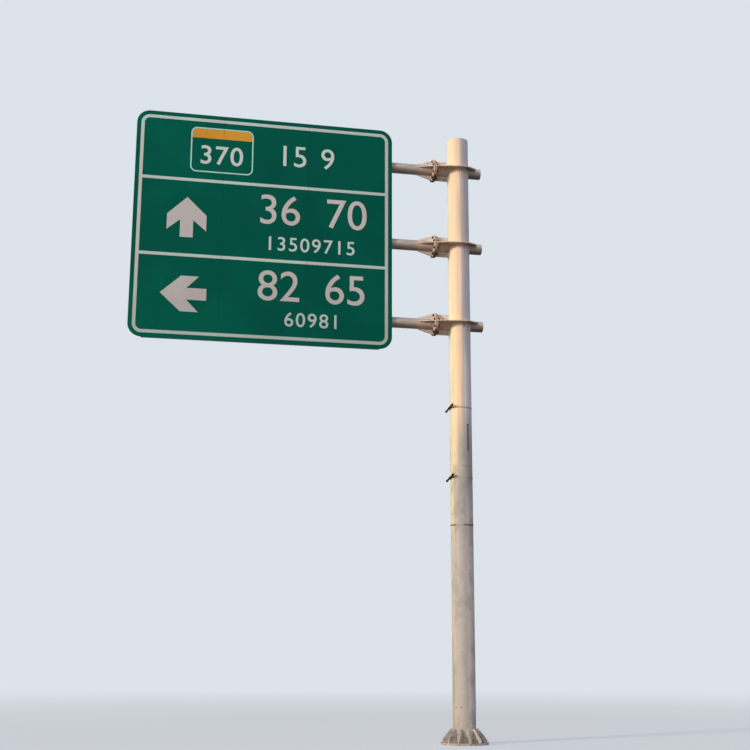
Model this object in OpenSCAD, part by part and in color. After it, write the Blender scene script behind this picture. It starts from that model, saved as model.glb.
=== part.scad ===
// Single-post cantilever sign gantry: a flanged round post carries three
// bolted-on arms, and an aluminium sign face is clamped in front of the arms.
// The origin is the centre of the base flange's underside. X runs along the
// arms (the sign is on the -X side), the sign faces -Y, and Z is up.

/* [Post] */
// Outside diameter of the post tube
post_od = 340; // [273:1:426]
// Wall of the post tube
post_wall = 10; // [6:1:16]
// Height of the post's top above the sign's top edge, negative when below it
post_over = -32; // [-100:2:400]
// Thickness of the plate that closes the post
post_cap_t = 6; // [4:1:12]
// Chamfer round the closing plate
post_cap_chamfer = 2; // [1:0.5:3]
// Depth of the closing plate's spigot inside the tube
spigot_h = 20; // [10:1:40]
// Wall of the spigot
spigot_wall = 5; // [3:1:8]

/* [Base] */
// Width of the base flange outside the post
base_rim = 180; // [150:0.5:260]
// Thickness of the base flange
base_t = 30; // [20:1:40]
// Number of anchor holes, and of gussets between them
anchor_count = 12; // [8:1:14]
// Diameter of an anchor hole
anchor_hole_d = 39; // [26:1:45]
// Distance from the post's surface to the anchor circle
anchor_reach = 110; // [90:0.5:130]
// Height of a base gusset
base_gusset_h = 190; // [120:5:260]
// Thickness of a base gusset
base_gusset_t = 14; // [8:1:20]
// Bare rim outside the gussets
base_gusset_inset = 15; // [5:1:30]
// Width of a base gusset's top and height of its tip
base_gusset_tip = 40; // [20:1:60]

/* [Arms] */
// Outside diameter of an arm tube
arm_od = 168; // [140:1:194]
// Wall of an arm tube
arm_wall = 8; // [5:1:12]
// Distance from the sign's bottom edge up to the lowest arm
arm_low = 470; // [400:5:700]
// Distance from the highest arm up to the sign's top edge
arm_high = 570; // [400:5:700]
// Distance from an arm's closed end to the sign's far edge
arm_short = 250; // [100:10:350]
// Thickness of the plate that closes a tube end
tube_cap_t = 6; // [4:1:10]

/* [Arm joint] */
// Distance from the post's surface to the face where two flanges meet
stub_reach = 238; // [220:2:360]
// Length of the stub's tail beyond the far side of the post
tail_reach = 196; // [160:2:300]
// Width of a flange outside its tube
flange_rim = 96; // [85:1:120]
// Thickness of a flange
flange_t = 20; // [14:1:30]
// Setback of each tube end from the face where two flanges meet
tube_setback = 4; // [2:1:10]
// Bolts in one flange joint
flange_bolts = 8; // [8:4:12]
// Diameter of a flange bolt
flange_bolt_d = 24; // [20:2:27]
// Radial play of a flange bolt in its hole
bolt_play = 1; // [0.5:0.5:2]
// Distance from the tube's surface to the bolt circle
bolt_reach = 61; // [50:1:64]
// Height of a gusset above the tube's surface
gusset_rise = 81; // [60:1:84]
// Thickness of a gusset
gusset_t = 12; // [8:1:16]
// Length of an arm gusset
gusset_run = 240; // [150:5:320]
// Height of an arm gusset's toe
gusset_toe = 12; // [6:1:20]
// Width of a gusset's top edge where it meets the flange
gusset_land = 14; // [0:1:30]
// Corner cut off a gusset where two welds cross
gusset_snipe = 18; // [10:1:25]
// Height of the level gussets and of the ring plates above the tube's axis
plate_lift = 23; // [0:1:24]

/* [Ring plates] */
// Thickness of a ring plate
ring_t = 18; // [12:1:25]
// Width of a ring plate round the post
ring_w = 98; // [70:1:120]
// Width of a ring plate beside the stub, at the flange
ring_flange_w = 109; // [80:1:120]
// Width of a ring plate beside the tail, at its tip
ring_tail_w = 80; // [8:1:110]
// Length of a ring plate beyond the post, along the tail
ring_tail = 88; // [88:1:140]

/* [Sign face] */
// Width of the sign
sign_w = 4000; // [3000:50:4800]
// Height of the sign
sign_h = 3600; // [2600:50:4200]
// Clear height under the sign
clear_h = 5840; // [4500:10:6500]
// Gap between the post's surface and the sign's near edge
sign_gap = 940; // [700:1:1400]
// Corner radius of the sign
corner_r = 200; // [100:10:300]
// Thickness of a sign sheet
sheet_t = 3; // [2:0.5:5]
// Width of the seam between two sheets
seam_w = 3; // [1:0.5:6]
// Depth of the folded edge behind the sheet
fold_d = 20; // [12:1:22]

/* [Legend films] */
// Thickness of a film
film_t = 0.5; // [0.4:0.1:1]
// Bare margin outside the border line
border_margin = 64; // [30:1:80]
// Width of the border line
border_w = 50; // [40:1:80]
// Width of a dividing line
divider_w = 48; // [30:1:80]
// Height of the top row, down to the middle of its dividing line. The other
// two rows share the rest
top_row_h = 1083; // [1060:1:1200]
// Middle of the ahead arrow, from the sign's left edge
up_arrow_x = 808; // [500:1:1000]
// Share of a lower row's clear height that the ahead arrow fills
up_arrow_fill = 0.553; // [0.4:0.001:0.7]
// Length of the ahead arrow over its width
up_arrow_slender = 1.082; // [1:0.001:1.4]
// Point of the left arrow, from the sign's left edge
left_arrow_x = 451; // [300:1:700]
// Share of a lower row's clear height that the left arrow fills
left_arrow_fill = 0.477; // [0.4:0.001:0.7]
// Length of the left arrow over its width
left_arrow_slender = 1.242; // [1:0.001:1.4]
// Width of the route badge
badge_w = 965; // [700:1:1100]
// Height of the route badge
badge_h = 735; // [500:1:780]
// Left edge of the badge, from the sign's left edge
badge_x = 827; // [300:1:1200]
// Top edge of the badge, below the sign's top edge
badge_y = 207; // [150:1:260]
// Corner radius of the badge
badge_r = 95; // [40:1:120]
// Width of the badge's outline
badge_line = 20; // [15:1:40]
// Height of the coloured band in the badge
badge_band_h = 152; // [100:1:200]
// Gap between the outline and the band
badge_band_gap = 2; // [1:1:30]

/* [Rear channels] */
// Number of upright channels, two of which lie on the seams
channel_count = 8; // [5:3:11]
// Width of a channel's foot
channel_w = 100; // [80:1:120]
// Width of a channel's box
channel_box = 50; // [46:1:60]
// Depth of a channel
channel_d = 25; // [22:1:36]
// Wall of a channel
channel_wall = 4; // [3:0.5:5]
// Width of the slot that takes the clamp bolts
slot_w = 20; // [18:1:24]
// Gap between a channel's end and the edge rail
channel_gap = 12; // [4:1:60]
// Depth of the edge rails along the top and the bottom
rail_d = 70; // [40:1:90]
// Height of an edge rail
rail_h = 50; // [35:1:80]
// Wall of an edge rail
rail_wall = 3; // [2:0.5:5]

/* [Clamps] */
// Width of a clamp band along the arm
clamp_w = 60; // [40:1:80]
// Thickness of a clamp band
clamp_t = 5; // [3:0.5:6]
// Distance from the arm's axis to the face where two clamp ears meet
ear_y = 65; // [50:1:70]
// Distance from the arm's surface to the end of a clamp ear
ear_reach = 52; // [44:1:70]
// Distance from the arm's surface to a clamp bolt
clamp_bolt_reach = 26; // [24:1:30]
// Diameter of a clamp bolt
clamp_bolt_d = 16; // [12:2:16]
// Thickness of a clamp bolt's head inside the channel
t_head_t = 8; // [5:1:10]
// Play of a clamp bolt's head between the channel's walls
t_head_play = 3; // [1:0.5:5]
// Height of a clamp bolt's head along the channel
t_head_h = 20; // [16:1:30]
// Thickness of a clamp bolt's washer
clamp_washer_t = 3; // [2:0.5:4]

/* [Post bands] */
// Height of the highest band's middle
band_z_upper = 4980; // [4600:10:5400]
// Height of the middle band's middle
band_z_lower = 3898; // [3600:2:4200]
// Height of the lowest band's middle
band_z_foot = 3180; // [2800:10:3400]
// Width of a band
band_h = 20; // [15:1:40]
// Thickness of a band
band_t = 3; // [2:0.5:5]
// Diameter of the rod that tightens a band
rod_d = 22; // [10:1:24]
// Wall of the barrel that the rod passes through
barrel_wall = 7; // [4:1:10]
// Length of the barrel
barrel_len = 34; // [20:1:50]
// Gap between the barrel's bore and the band
barrel_gap = 6; // [2:1:7]
// Length of the rod
rod_len = 270; // [160:1:320]
// Length of the rod above its barrel
rod_above = 135; // [60:1:150]
// Direction of the rod's barrel, seen from above
rod_azimuth = 188; // [170:1:240]
// Slope of the rod
rod_slope = 16; // [0:1:60]

/* [Hidden] */

// Radial play wherever a round piece passes through, or sits on, another
fit = 0.3;
// Depth inside a round rim at which a straight edge aims, so that it crosses
// the rim instead of just touching it
rim_bite = 1;
// Overshoot of a cutting tool past the face that it cuts
over = 5;
// Facets of large and of small circles
fn_large = 96;
fn_small = 48;

// Names of the arm levels
LEVELS = ["bottom", "middle", "top"];

// Post and base
post_r = post_od / 2;
sign_top = clear_h + sign_h;
post_top = sign_top + post_over;
base_r = post_r + base_rim;
anchor_r = post_r + anchor_reach;

// Arms
arm_r = arm_od / 2;
joint_x = post_r + stub_reach;
tail_x = post_r + tail_reach;
sign_near = post_r + sign_gap;
sign_far = sign_near + sign_w;
arm_far = sign_far - arm_short;

// Flange joint
flange_r = arm_r + flange_rim;
bolt_circle_r = arm_r + bolt_reach;
gusset_r = arm_r + gusset_rise;
gusset_count = 4;
stub_face = joint_x - flange_t;
arm_face = joint_x + flange_t;

// Sign face, from the arms forward: clamp, channel, sheet, film
saddle_r = arm_r + fit + clamp_t;
channel_back = saddle_r + fit;
sheet_back = channel_back + channel_d;
sheet_front = sheet_back + sheet_t;
sheet_count = 3;
sheet_w = sign_w / sheet_count;
channel_pitch = sign_w / (channel_count + 1);
rail_low = clear_h + sheet_t + fit;
rail_high = sign_top - sheet_t - fit - rail_h;

// Clamp bolt: a flat head inside the channel, a nut on the strap's ears
clamp_bolt_z = arm_r + clamp_bolt_reach;
t_head_w = channel_box - 2 * (channel_wall + t_head_play);

// Legend rows, as heights above the sign's bottom edge
border_inset = border_margin + border_w;
upper_line = sign_h - top_row_h;
row_clear = (upper_line - 1.5 * divider_w - border_inset) / 2;
lower_line = border_inset + row_clear + divider_w / 2;
middle_row = (upper_line + lower_line) / 2;
bottom_row = border_inset + row_clear / 2;

// Arrow outline, as shares of its length from the point, and its shaft's
// share of its width
arrow_shoulder = 0.443;
arrow_barb = 0.83;
arrow_notch = 0.567;
arrow_shaft = 0.33;
up_arrow_len = up_arrow_fill * row_clear;
left_arrow_w = left_arrow_fill * row_clear;

// Post bands
rod_r = post_r + fit + band_t + barrel_gap + rod_d / 2;

// Colours
paint = "#dcd5c6";
rusty = "#7a4a2c";
zinc = "#a9abac";
alloy = "#b9bcbe";
green = "#0a5a44";
white = "#c9c6be";
orange = "#d8951f";

// Height of an arm's axis: the middle arm lies halfway between the others
function arm_z(level) =
    level == "bottom" ? clear_h + arm_low :
    level == "top" ? sign_top - arm_high :
    (arm_z("bottom") + arm_z("top")) / 2;

// Middle of upright channel number i, counted from the far edge
function channel_x(i) = -sign_far + (i + 1) * channel_pitch;

// Where a line from point p touches a circle of radius r round the origin
function touch(p, r) =
    let (turn = atan2(p[1], p[0]), lean = acos(r / norm(p)))
    let (a = p[0] < 0 ? turn - lean : turn + lean)
    [r * cos(a), r * sin(a)];

// Point p on the other side of the X axis
function across(p) = [p[0], -p[1]];

// Outline of an arrow that points along +Y, with its point at the origin
function arrow_points(len, w) =
    let (half = w / 2, shaft = arrow_shaft * w / 2)
    let (shoulder = -arrow_shoulder * len, barb = -arrow_barb * len, notch = -arrow_notch * len)
    [
        [0, 0], [half, shoulder], [half, barb], [shaft, notch], [shaft, -len],
        [-shaft, -len], [-shaft, notch], [-half, barb], [-half, shoulder]
    ];

// Hollow round tube that stands on the XY plane
module tube(od, wall, len) {
    difference() {
        cylinder(h = len, d = od, $fn = fn_large);
        translate([0, 0, -over])
            cylinder(h = len + 2 * over, d = od - 2 * wall, $fn = fn_large);
    }
}

// Lays what stands up along +Z down along +X, at an arm's height
module along_arm(x, level) {
    translate([x, 0, arm_z(level)])
        rotate([0, 90, 0])
            children();
}

// Space that an arm tube and its play take up, all along its axis
module arm_space(level) {
    reach = joint_x + tail_x;
    along_arm(-reach, level)
        cylinder(h = 2 * reach, r = arm_r + fit, $fn = fn_large);
}

// Space that the post and its play take up at an arm
module post_space(level) {
    translate([0, 0, arm_z(level) - flange_r])
        cylinder(h = 2 * flange_r, r = post_r + fit, $fn = fn_large);
}

// Upright plate in the XZ plane, centred on y = 0, from an outline
module upright_plate(t) {
    rotate([90, 0, 0])
        linear_extrude(height = t, center = true)
            children();
}

// Hexagonal bolt with washers and nut: its head ends at z = 0, the grip is
// the stack that it clamps, and the thread stands out past the nut
module hex_bolt(d, grip) {
    across = 1.5 * d;
    corner_d = across / cos(30);
    washer_t = 0.16 * d;
    washer_d = 1.8 * d;
    head_t = 0.63 * d;
    nut_t = 0.8 * d;
    end = grip + washer_t + nut_t + 0.4 * d;
    translate([0, 0, -washer_t])
        cylinder(h = washer_t, d = washer_d, $fn = fn_small);
    translate([0, 0, -washer_t - head_t])
        cylinder(h = head_t, d = corner_d, $fn = 6);
    translate([0, 0, -washer_t - head_t / 2])
        cylinder(h = end + washer_t + head_t / 2, d = d, $fn = fn_small);
    translate([0, 0, grip])
        cylinder(h = washer_t, d = washer_d, $fn = fn_small);
    translate([0, 0, grip + washer_t])
        cylinder(h = nut_t, d = corner_d, $fn = 6);
}

// Rectangle with round corners, its lower left corner at the origin
module round_rect(w, h, r) {
    translate([r, 0])
        square([w - 2 * r, h]);
    translate([0, r])
        square([w, h - 2 * r]);
    for (x = [r, w - r], y = [r, h - r])
        translate([x, y])
            circle(r = r, $fn = fn_large);
}

// Extrudes an outline drawn in sign coordinates, x from the sign's left edge
// and y from its bottom edge, to a plate of thickness t behind y = -front
module on_sign(front, t) {
    translate([-sign_far, t - front, clear_h])
        rotate([90, 0, 0])
            linear_extrude(height = t)
                children();
}

module post() {
    color(paint)
        difference() {
            translate([0, 0, base_t])
                tube(post_od, post_wall, post_top - post_cap_t - base_t);
            for (level = LEVELS)
                arm_space(level);
        }
}

// Closing plate with a chamfered rim and a spigot that drops into the tube
module post_cap() {
    spigot_r = post_r - post_wall - fit;
    chamfer = post_cap_chamfer;
    color(paint)
        translate([0, 0, post_top - post_cap_t])
            rotate_extrude($fn = fn_large)
                polygon([
                    [0, post_cap_t], [post_r - chamfer, post_cap_t],
                    [post_r, post_cap_t - chamfer], [post_r, 0],
                    [spigot_r, 0], [spigot_r, -spigot_h],
                    [spigot_r - spigot_wall, -spigot_h], [spigot_r - spigot_wall, 0], [0, 0]
                ]);
}

module base_flange() {
    color(paint)
        difference() {
            cylinder(h = base_t, r = base_r, $fn = fn_large);
            for (i = [0 : anchor_count - 1])
                rotate([0, 0, (i + 0.5) * 360 / anchor_count])
                    translate([anchor_r, 0, -over])
                        cylinder(h = base_t + 2 * over, d = anchor_hole_d, $fn = fn_small);
        }
}

module base_gussets() {
    inner = post_r + fit;
    outer = base_r - base_gusset_inset;
    color(paint)
        for (i = [0 : anchor_count - 1])
            rotate([0, 0, i * 360 / anchor_count])
                translate([0, 0, base_t])
                    upright_plate(base_gusset_t)
                        polygon([
                            [inner, gusset_snipe], [inner + gusset_snipe, 0],
                            [outer, 0], [outer, base_gusset_tip],
                            [inner + base_gusset_tip, base_gusset_h],
                            [inner, base_gusset_h]
                        ]);
}

// Tube that passes right through the post, flanged on the sign's side
module stub(level) {
    start = -joint_x + tube_setback;
    color(paint)
        along_arm(start, level)
            tube(arm_od, arm_wall, tail_x - tube_cap_t - start);
}

module arm(level) {
    color(paint)
        along_arm(-arm_far + tube_cap_t, level)
            tube(arm_od, arm_wall, arm_far - tube_cap_t - joint_x - tube_setback);
}

// Flange ring whose lower face lies at x, with holes between the gussets
module flange(x, level) {
    color(paint)
        along_arm(x, level)
            difference() {
                cylinder(h = flange_t, r = flange_r, $fn = fn_large);
                translate([0, 0, -over])
                    cylinder(h = flange_t + 2 * over, r = arm_r + fit, $fn = fn_large);
                for (i = [0 : flange_bolts - 1])
                    rotate([0, 0, (i + 0.5) * 360 / flange_bolts])
                        translate([bolt_circle_r, 0, -over])
                            cylinder(h = flange_t + 2 * over,
                                d = flange_bolt_d + 2 * bolt_play, $fn = fn_small);
            }
}

module stub_flange(level) {
    flange(-joint_x, level);
}

module arm_flange(level) {
    flange(-arm_face, level);
}

module flange_bolt_set(level) {
    color(rusty)
        along_arm(-arm_face, level)
            for (i = [0 : flange_bolts - 1])
                rotate([0, 0, (i + 0.5) * 360 / flange_bolts])
                    translate([bolt_circle_r, 0, 0])
                        hex_bolt(flange_bolt_d, 2 * flange_t);
}

// Upright plates above and below the stub, between the flange and the post
module stub_gussets(level) {
    color(paint)
        difference() {
            translate([0, 0, arm_z(level)])
                upright_plate(gusset_t)
                    translate([-stub_face, -gusset_r])
                        square([stub_face, 2 * gusset_r]);
            arm_space(level);
            post_space(level);
        }
}

// Four tapered plates that stiffen the arm behind its flange, drawn into the
// tube and trimmed to it. The two level ones lie plate_lift above its axis
module arm_gussets(level) {
    foot = arm_r + fit;
    inside = foot - plate_lift - gusset_t;
    color(paint)
        difference() {
            translate([-arm_face, 0, arm_z(level)])
                for (i = [0 : gusset_count - 1])
                    translate([0, 0, i % 2 * plate_lift])
                        rotate([i * 360 / gusset_count, 0, 0])
                            upright_plate(gusset_t)
                                polygon([
                                    [0, foot + gusset_snipe], [0, gusset_r],
                                    [-gusset_land, gusset_r],
                                    [-gusset_run, arm_r + gusset_toe],
                                    [-gusset_run, inside], [-gusset_snipe, inside],
                                    [-gusset_snipe, foot]
                                ]);
            arm_space(level);
        }
}

// Level plates in front of and behind the stub, which widen into a ring round
// the post and taper off along the tail
module ring_plates(level) {
    ring_r = post_r + ring_w;
    at_flange = [-stub_face, arm_r + ring_flange_w];
    at_tail = [post_r + ring_tail, arm_r + ring_tail_w];
    flange_touch = touch(at_flange, ring_r - rim_bite);
    tail_touch = touch(at_tail, ring_r - rim_bite);
    color(paint)
        difference() {
            translate([0, 0, arm_z(level) + plate_lift - ring_t / 2]) {
                cylinder(h = ring_t, r = ring_r, $fn = fn_large);
                linear_extrude(height = ring_t)
                    polygon([
                        at_flange, flange_touch, tail_touch, at_tail,
                        across(at_tail), across(tail_touch),
                        across(flange_touch), across(at_flange)
                    ]);
            }
            arm_space(level);
            post_space(level);
        }
}

module tail_caps() {
    color(paint)
        for (level = LEVELS)
            along_arm(tail_x - tube_cap_t, level)
                cylinder(h = tube_cap_t, r = arm_r, $fn = fn_large);
}

module arm_end_caps() {
    color(paint)
        for (level = LEVELS)
            along_arm(-arm_far, level)
                cylinder(h = tube_cap_t, r = arm_r, $fn = fn_large);
}

// Folded edge: a strip of the sheet's thickness turned back from the face
module fold(x, y, w, h) {
    on_sign(sheet_front, sheet_t + fold_d)
        translate([x, y])
            square([w, h]);
}

// One of the three sheets, with its share of the rounded outline. Its outer
// edges are folded back along their straight stretches
module sheet(index) {
    first = index == 0;
    last = index == sheet_count - 1;
    left = index * sheet_w + (first ? 0 : seam_w / 2);
    right = (index + 1) * sheet_w - (last ? 0 : seam_w / 2);
    fold_left = first ? corner_r : left;
    fold_right = last ? sign_w - corner_r : right;
    color(green) {
        on_sign(sheet_front, sheet_t)
            intersection() {
                round_rect(sign_w, sign_h, corner_r);
                translate([left, 0])
                    square([right - left, sign_h]);
            }
        for (y = [0, sign_h - sheet_t])
            fold(fold_left, y, fold_right - fold_left, sheet_t);
        if (first)
            fold(0, corner_r, sheet_t, sign_h - 2 * corner_r);
        if (last)
            fold(sign_w - sheet_t, corner_r, sheet_t, sign_h - 2 * corner_r);
    }
}

// Channel on its side along an edge, with its web on the backs of the sheets
module edge_rail(z) {
    len = sign_w - 2 * corner_r;
    color(alloy)
        translate([-sign_far + corner_r, -sheet_back, z])
            difference() {
                cube([len, rail_d, rail_h]);
                translate([-over, rail_wall, rail_wall])
                    cube([len + 2 * over, rail_d, rail_h - 2 * rail_wall]);
            }
}

// Channel section on a flat foot, with a slot down its back for the bolt heads
module channel_outline() {
    difference() {
        union() {
            translate([-channel_w / 2, 0])
                square([channel_w, channel_wall]);
            translate([-channel_box / 2, 0])
                square([channel_box, channel_d]);
        }
        translate([channel_wall - channel_box / 2, channel_wall])
            square([channel_box - 2 * channel_wall, channel_d - 2 * channel_wall]);
        translate([-slot_w / 2, channel_wall])
            square([slot_w, channel_d]);
    }
}

module rear_channels() {
    low = rail_low + rail_h + channel_gap;
    high = rail_high - channel_gap;
    color(alloy)
        for (i = [0 : channel_count - 1])
            translate([channel_x(i), -sheet_back, low])
                linear_extrude(height = high - low)
                    channel_outline();
}

// Puts a clamp piece, extruded along the arm, at each channel of one level.
// The outline is drawn with x to the sign's back (+Y) and y up (+Z)
module at_clamps(level) {
    for (i = [0 : channel_count - 1])
        translate([channel_x(i) - clamp_w / 2, 0, arm_z(level)])
            rotate([90, 0, 90])
                linear_extrude(height = clamp_w)
                    children();
}

// Two ears of a clamp band, their near face at x
module ears(x) {
    inner = sqrt(saddle_r * saddle_r - ear_y * ear_y) - clamp_t / 2;
    len = arm_r + ear_reach - inner;
    for (y = [inner, -inner - len])
        translate([x, y])
            square([clamp_t, len]);
}

// Part of a clamp band's ring in front of (side -1) or behind (side 1) the
// face where the ears meet
module band_arc(side) {
    intersection() {
        difference() {
            circle(r = saddle_r, $fn = fn_large);
            circle(r = arm_r + fit, $fn = fn_large);
        }
        translate([side < 0 ? -ear_y - saddle_r : -ear_y, -saddle_r])
            square([side < 0 ? saddle_r : 2 * saddle_r, 2 * saddle_r]);
    }
}

// Drills the two bolt holes of each clamp of one level through its children
module clamp_drilled(level) {
    difference() {
        children();
        for (i = [0 : channel_count - 1], side = [-1, 1])
            translate([channel_x(i), -ear_y, arm_z(level) + side * clamp_bolt_z])
                rotate([90, 0, 0])
                    cylinder(h = 4 * clamp_t, d = clamp_bolt_d + 2 * bolt_play,
                        center = true, $fn = fn_small);
    }
}

// Front half of each clamp: an arc that beds the arm on the channels
module clamp_saddles(level) {
    color(zinc)
        clamp_drilled(level)
            at_clamps(level)
                difference() {
                    union() {
                        band_arc(-1);
                        ears(-ear_y - clamp_t);
                    }
                    circle(r = arm_r + fit, $fn = fn_large);
                }
}

// Back half of each clamp: a strap round the arm
module clamp_straps(level) {
    color(zinc)
        clamp_drilled(level)
            at_clamps(level)
                difference() {
                    union() {
                        band_arc(1);
                        ears(-ear_y);
                    }
                    circle(r = arm_r + fit, $fn = fn_large);
                }
}

// Clamp bolt along +Z from inside the channel to the nut on the ears
module clamp_bolt() {
    lip = sheet_back - channel_d + channel_wall;
    seat = -ear_y + clamp_t;
    nut_t = 0.8 * clamp_bolt_d;
    thread_end = seat + clamp_washer_t + nut_t + 0.5 * clamp_bolt_d;
    translate([-t_head_w / 2, -t_head_h / 2, -lip - t_head_t])
        cube([t_head_w, t_head_h, t_head_t]);
    translate([0, 0, -lip - t_head_t / 2])
        cylinder(h = lip + t_head_t / 2 + thread_end, d = clamp_bolt_d, $fn = fn_small);
    translate([0, 0, seat])
        cylinder(h = clamp_washer_t, d = 1.9 * clamp_bolt_d, $fn = fn_small);
    translate([0, 0, seat + clamp_washer_t])
        cylinder(h = nut_t, d = 1.5 * clamp_bolt_d / cos(30), $fn = 6);
}

module clamp_bolts() {
    color(zinc)
        for (level = LEVELS, i = [0 : channel_count - 1], side = [-1, 1])
            translate([channel_x(i), 0, arm_z(level) + side * clamp_bolt_z])
                rotate([-90, 0, 0])
                    clamp_bolt();
}

// Cuts the seams out of a film outline
module cut_at_seams() {
    difference() {
        children();
        for (i = [1 : sheet_count - 1])
            translate([i * sheet_w - seam_w / 2, -over])
                square([seam_w, sign_h + 2 * over]);
    }
}

// Border line with the two dividing lines
module legend_lines() {
    color(white)
        on_sign(sheet_front + film_t, film_t)
            cut_at_seams()
                union() {
                    difference() {
                        translate([border_margin, border_margin])
                            round_rect(sign_w - 2 * border_margin,
                                sign_h - 2 * border_margin, corner_r - border_margin);
                        translate([border_inset, border_inset])
                            round_rect(sign_w - 2 * border_inset,
                                sign_h - 2 * border_inset, corner_r - border_inset);
                    }
                    for (y = [upper_line, lower_line])
                        translate([border_inset - over, y - divider_w / 2])
                            square([sign_w - 2 * (border_inset - over), divider_w]);
                }
}

// Outline of the route badge, inset from its edge
module badge_outline(inset) {
    translate([badge_x + inset, sign_h - badge_y - badge_h + inset])
        round_rect(badge_w - 2 * inset, badge_h - 2 * inset, badge_r - inset);
}

// Ahead arrow, left arrow and the line round the route badge
module legend_symbols() {
    color(white)
        on_sign(sheet_front + film_t, film_t)
            cut_at_seams() {
                translate([up_arrow_x, middle_row + up_arrow_len / 2])
                    polygon(arrow_points(up_arrow_len, up_arrow_len / up_arrow_slender));
                translate([left_arrow_x, bottom_row])
                    rotate(90)
                        polygon(arrow_points(left_arrow_slender * left_arrow_w, left_arrow_w));
                difference() {
                    badge_outline(0);
                    badge_outline(badge_line);
                }
            }
}

// Coloured band along the top of the badge
module badge_band() {
    inset = badge_line + badge_band_gap;
    color(orange)
        on_sign(sheet_front + film_t, film_t)
            cut_at_seams()
                intersection() {
                    badge_outline(inset);
                    translate([0, sign_h - badge_y - inset - badge_band_h])
                        square([sign_w, badge_band_h]);
                }
}

// Turns what lies along +Z into the direction of a band's rod, at its barrel
module at_rod(z) {
    rotate([0, 0, rod_azimuth])
        translate([rod_r, 0, z])
            rotate([rod_slope - 90, 0, 0])
                children();
}

// Band round the post, without or with a barrel for its rod
module post_band(z, barrel) {
    difference() {
        union() {
            translate([0, 0, z - band_h / 2])
                cylinder(h = band_h, r = post_r + fit + band_t, $fn = fn_large);
            if (barrel)
                at_rod(z)
                    cylinder(h = barrel_len, d = rod_d + 2 * (fit + barrel_wall), center = true,
                        $fn = fn_small);
        }
        translate([0, 0, z - barrel_len])
            cylinder(h = 2 * barrel_len, r = post_r + fit, $fn = fn_large);
        if (barrel)
            at_rod(z)
                cylinder(h = 3 * barrel_len, d = rod_d + 2 * fit, center = true, $fn = fn_small);
    }
}

module post_bands() {
    color(rusty) {
        post_band(band_z_upper, true);
        post_band(band_z_lower, true);
        post_band(band_z_foot, false);
    }
}

// Rods with a hexagonal nut on each end, through the barrels of two bands
module band_rods() {
    nut_t = 0.9 * rod_d;
    nut_d = 1.6 * rod_d / cos(30);
    color(rusty)
        for (z = [band_z_upper, band_z_lower])
            at_rod(z)
                translate([0, 0, rod_above - rod_len]) {
                    cylinder(h = rod_len, d = rod_d, $fn = fn_small);
                    cylinder(h = nut_t, d = nut_d, $fn = 6);
                    translate([0, 0, rod_len - nut_t])
                        cylinder(h = nut_t, d = nut_d, $fn = 6);
                }
}

post();
post_cap();
base_flange();
base_gussets();
stub("top");  // stub_top
stub("middle");  // stub_middle
stub("bottom");  // stub_bottom
stub_flange("top");  // stub_flange_top
stub_flange("middle");  // stub_flange_middle
stub_flange("bottom");  // stub_flange_bottom
stub_gussets("top");  // stub_gussets_top
stub_gussets("middle");  // stub_gussets_middle
stub_gussets("bottom");  // stub_gussets_bottom
ring_plates("top");  // ring_plates_top
ring_plates("middle");  // ring_plates_middle
ring_plates("bottom");  // ring_plates_bottom
arm("top");  // arm_top
arm("middle");  // arm_middle
arm("bottom");  // arm_bottom
arm_flange("top");  // arm_flange_top
arm_flange("middle");  // arm_flange_middle
arm_flange("bottom");  // arm_flange_bottom
arm_gussets("top");  // arm_gussets_top
arm_gussets("middle");  // arm_gussets_middle
arm_gussets("bottom");  // arm_gussets_bottom
flange_bolt_set("top");  // flange_bolts_top
flange_bolt_set("middle");  // flange_bolts_middle
flange_bolt_set("bottom");  // flange_bolts_bottom
tail_caps();
arm_end_caps();
sheet(0);  // sheet_left
sheet(1);  // sheet_centre
sheet(2);  // sheet_right
edge_rail(rail_high);  // edge_rail_top
edge_rail(rail_low);  // edge_rail_bottom
rear_channels();
clamp_saddles("top");  // clamp_saddles_top
clamp_saddles("middle");  // clamp_saddles_middle
clamp_saddles("bottom");  // clamp_saddles_bottom
clamp_straps("top");  // clamp_straps_top
clamp_straps("middle");  // clamp_straps_middle
clamp_straps("bottom");  // clamp_straps_bottom
clamp_bolts();
legend_lines();
legend_symbols();
badge_band();
post_bands();
band_rods();
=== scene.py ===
"""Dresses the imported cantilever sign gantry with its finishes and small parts.

The post stands at the origin, the arms run along -X, the sign faces -Y and Z
is up. Lengths are metres, unless a name ends in _mm.
"""

import logging
import math
from collections.abc import Iterable, Sequence
from dataclasses import dataclass, replace
from enum import Enum

import bpy
import numpy as np
from mathutils import Matrix
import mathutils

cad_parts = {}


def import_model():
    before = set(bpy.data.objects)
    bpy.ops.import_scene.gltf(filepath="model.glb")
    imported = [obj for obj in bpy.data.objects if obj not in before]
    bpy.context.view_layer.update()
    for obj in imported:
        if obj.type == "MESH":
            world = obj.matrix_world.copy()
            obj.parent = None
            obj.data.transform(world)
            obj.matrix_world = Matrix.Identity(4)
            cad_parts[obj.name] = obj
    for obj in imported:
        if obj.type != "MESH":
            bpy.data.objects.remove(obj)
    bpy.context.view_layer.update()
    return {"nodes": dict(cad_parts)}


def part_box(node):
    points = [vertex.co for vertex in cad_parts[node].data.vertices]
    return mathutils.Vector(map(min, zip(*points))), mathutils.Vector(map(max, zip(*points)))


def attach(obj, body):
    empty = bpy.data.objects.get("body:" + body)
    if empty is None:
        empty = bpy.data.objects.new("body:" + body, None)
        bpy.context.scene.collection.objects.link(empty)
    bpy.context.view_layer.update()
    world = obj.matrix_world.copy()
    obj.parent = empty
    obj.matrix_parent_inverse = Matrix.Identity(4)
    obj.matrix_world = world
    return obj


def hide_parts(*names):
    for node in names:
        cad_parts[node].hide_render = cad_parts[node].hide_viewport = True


Vector = Sequence[float] | np.ndarray

LOG = logging.getLogger("gantry")
MM = 0.001
ROOT = "root"

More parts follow.
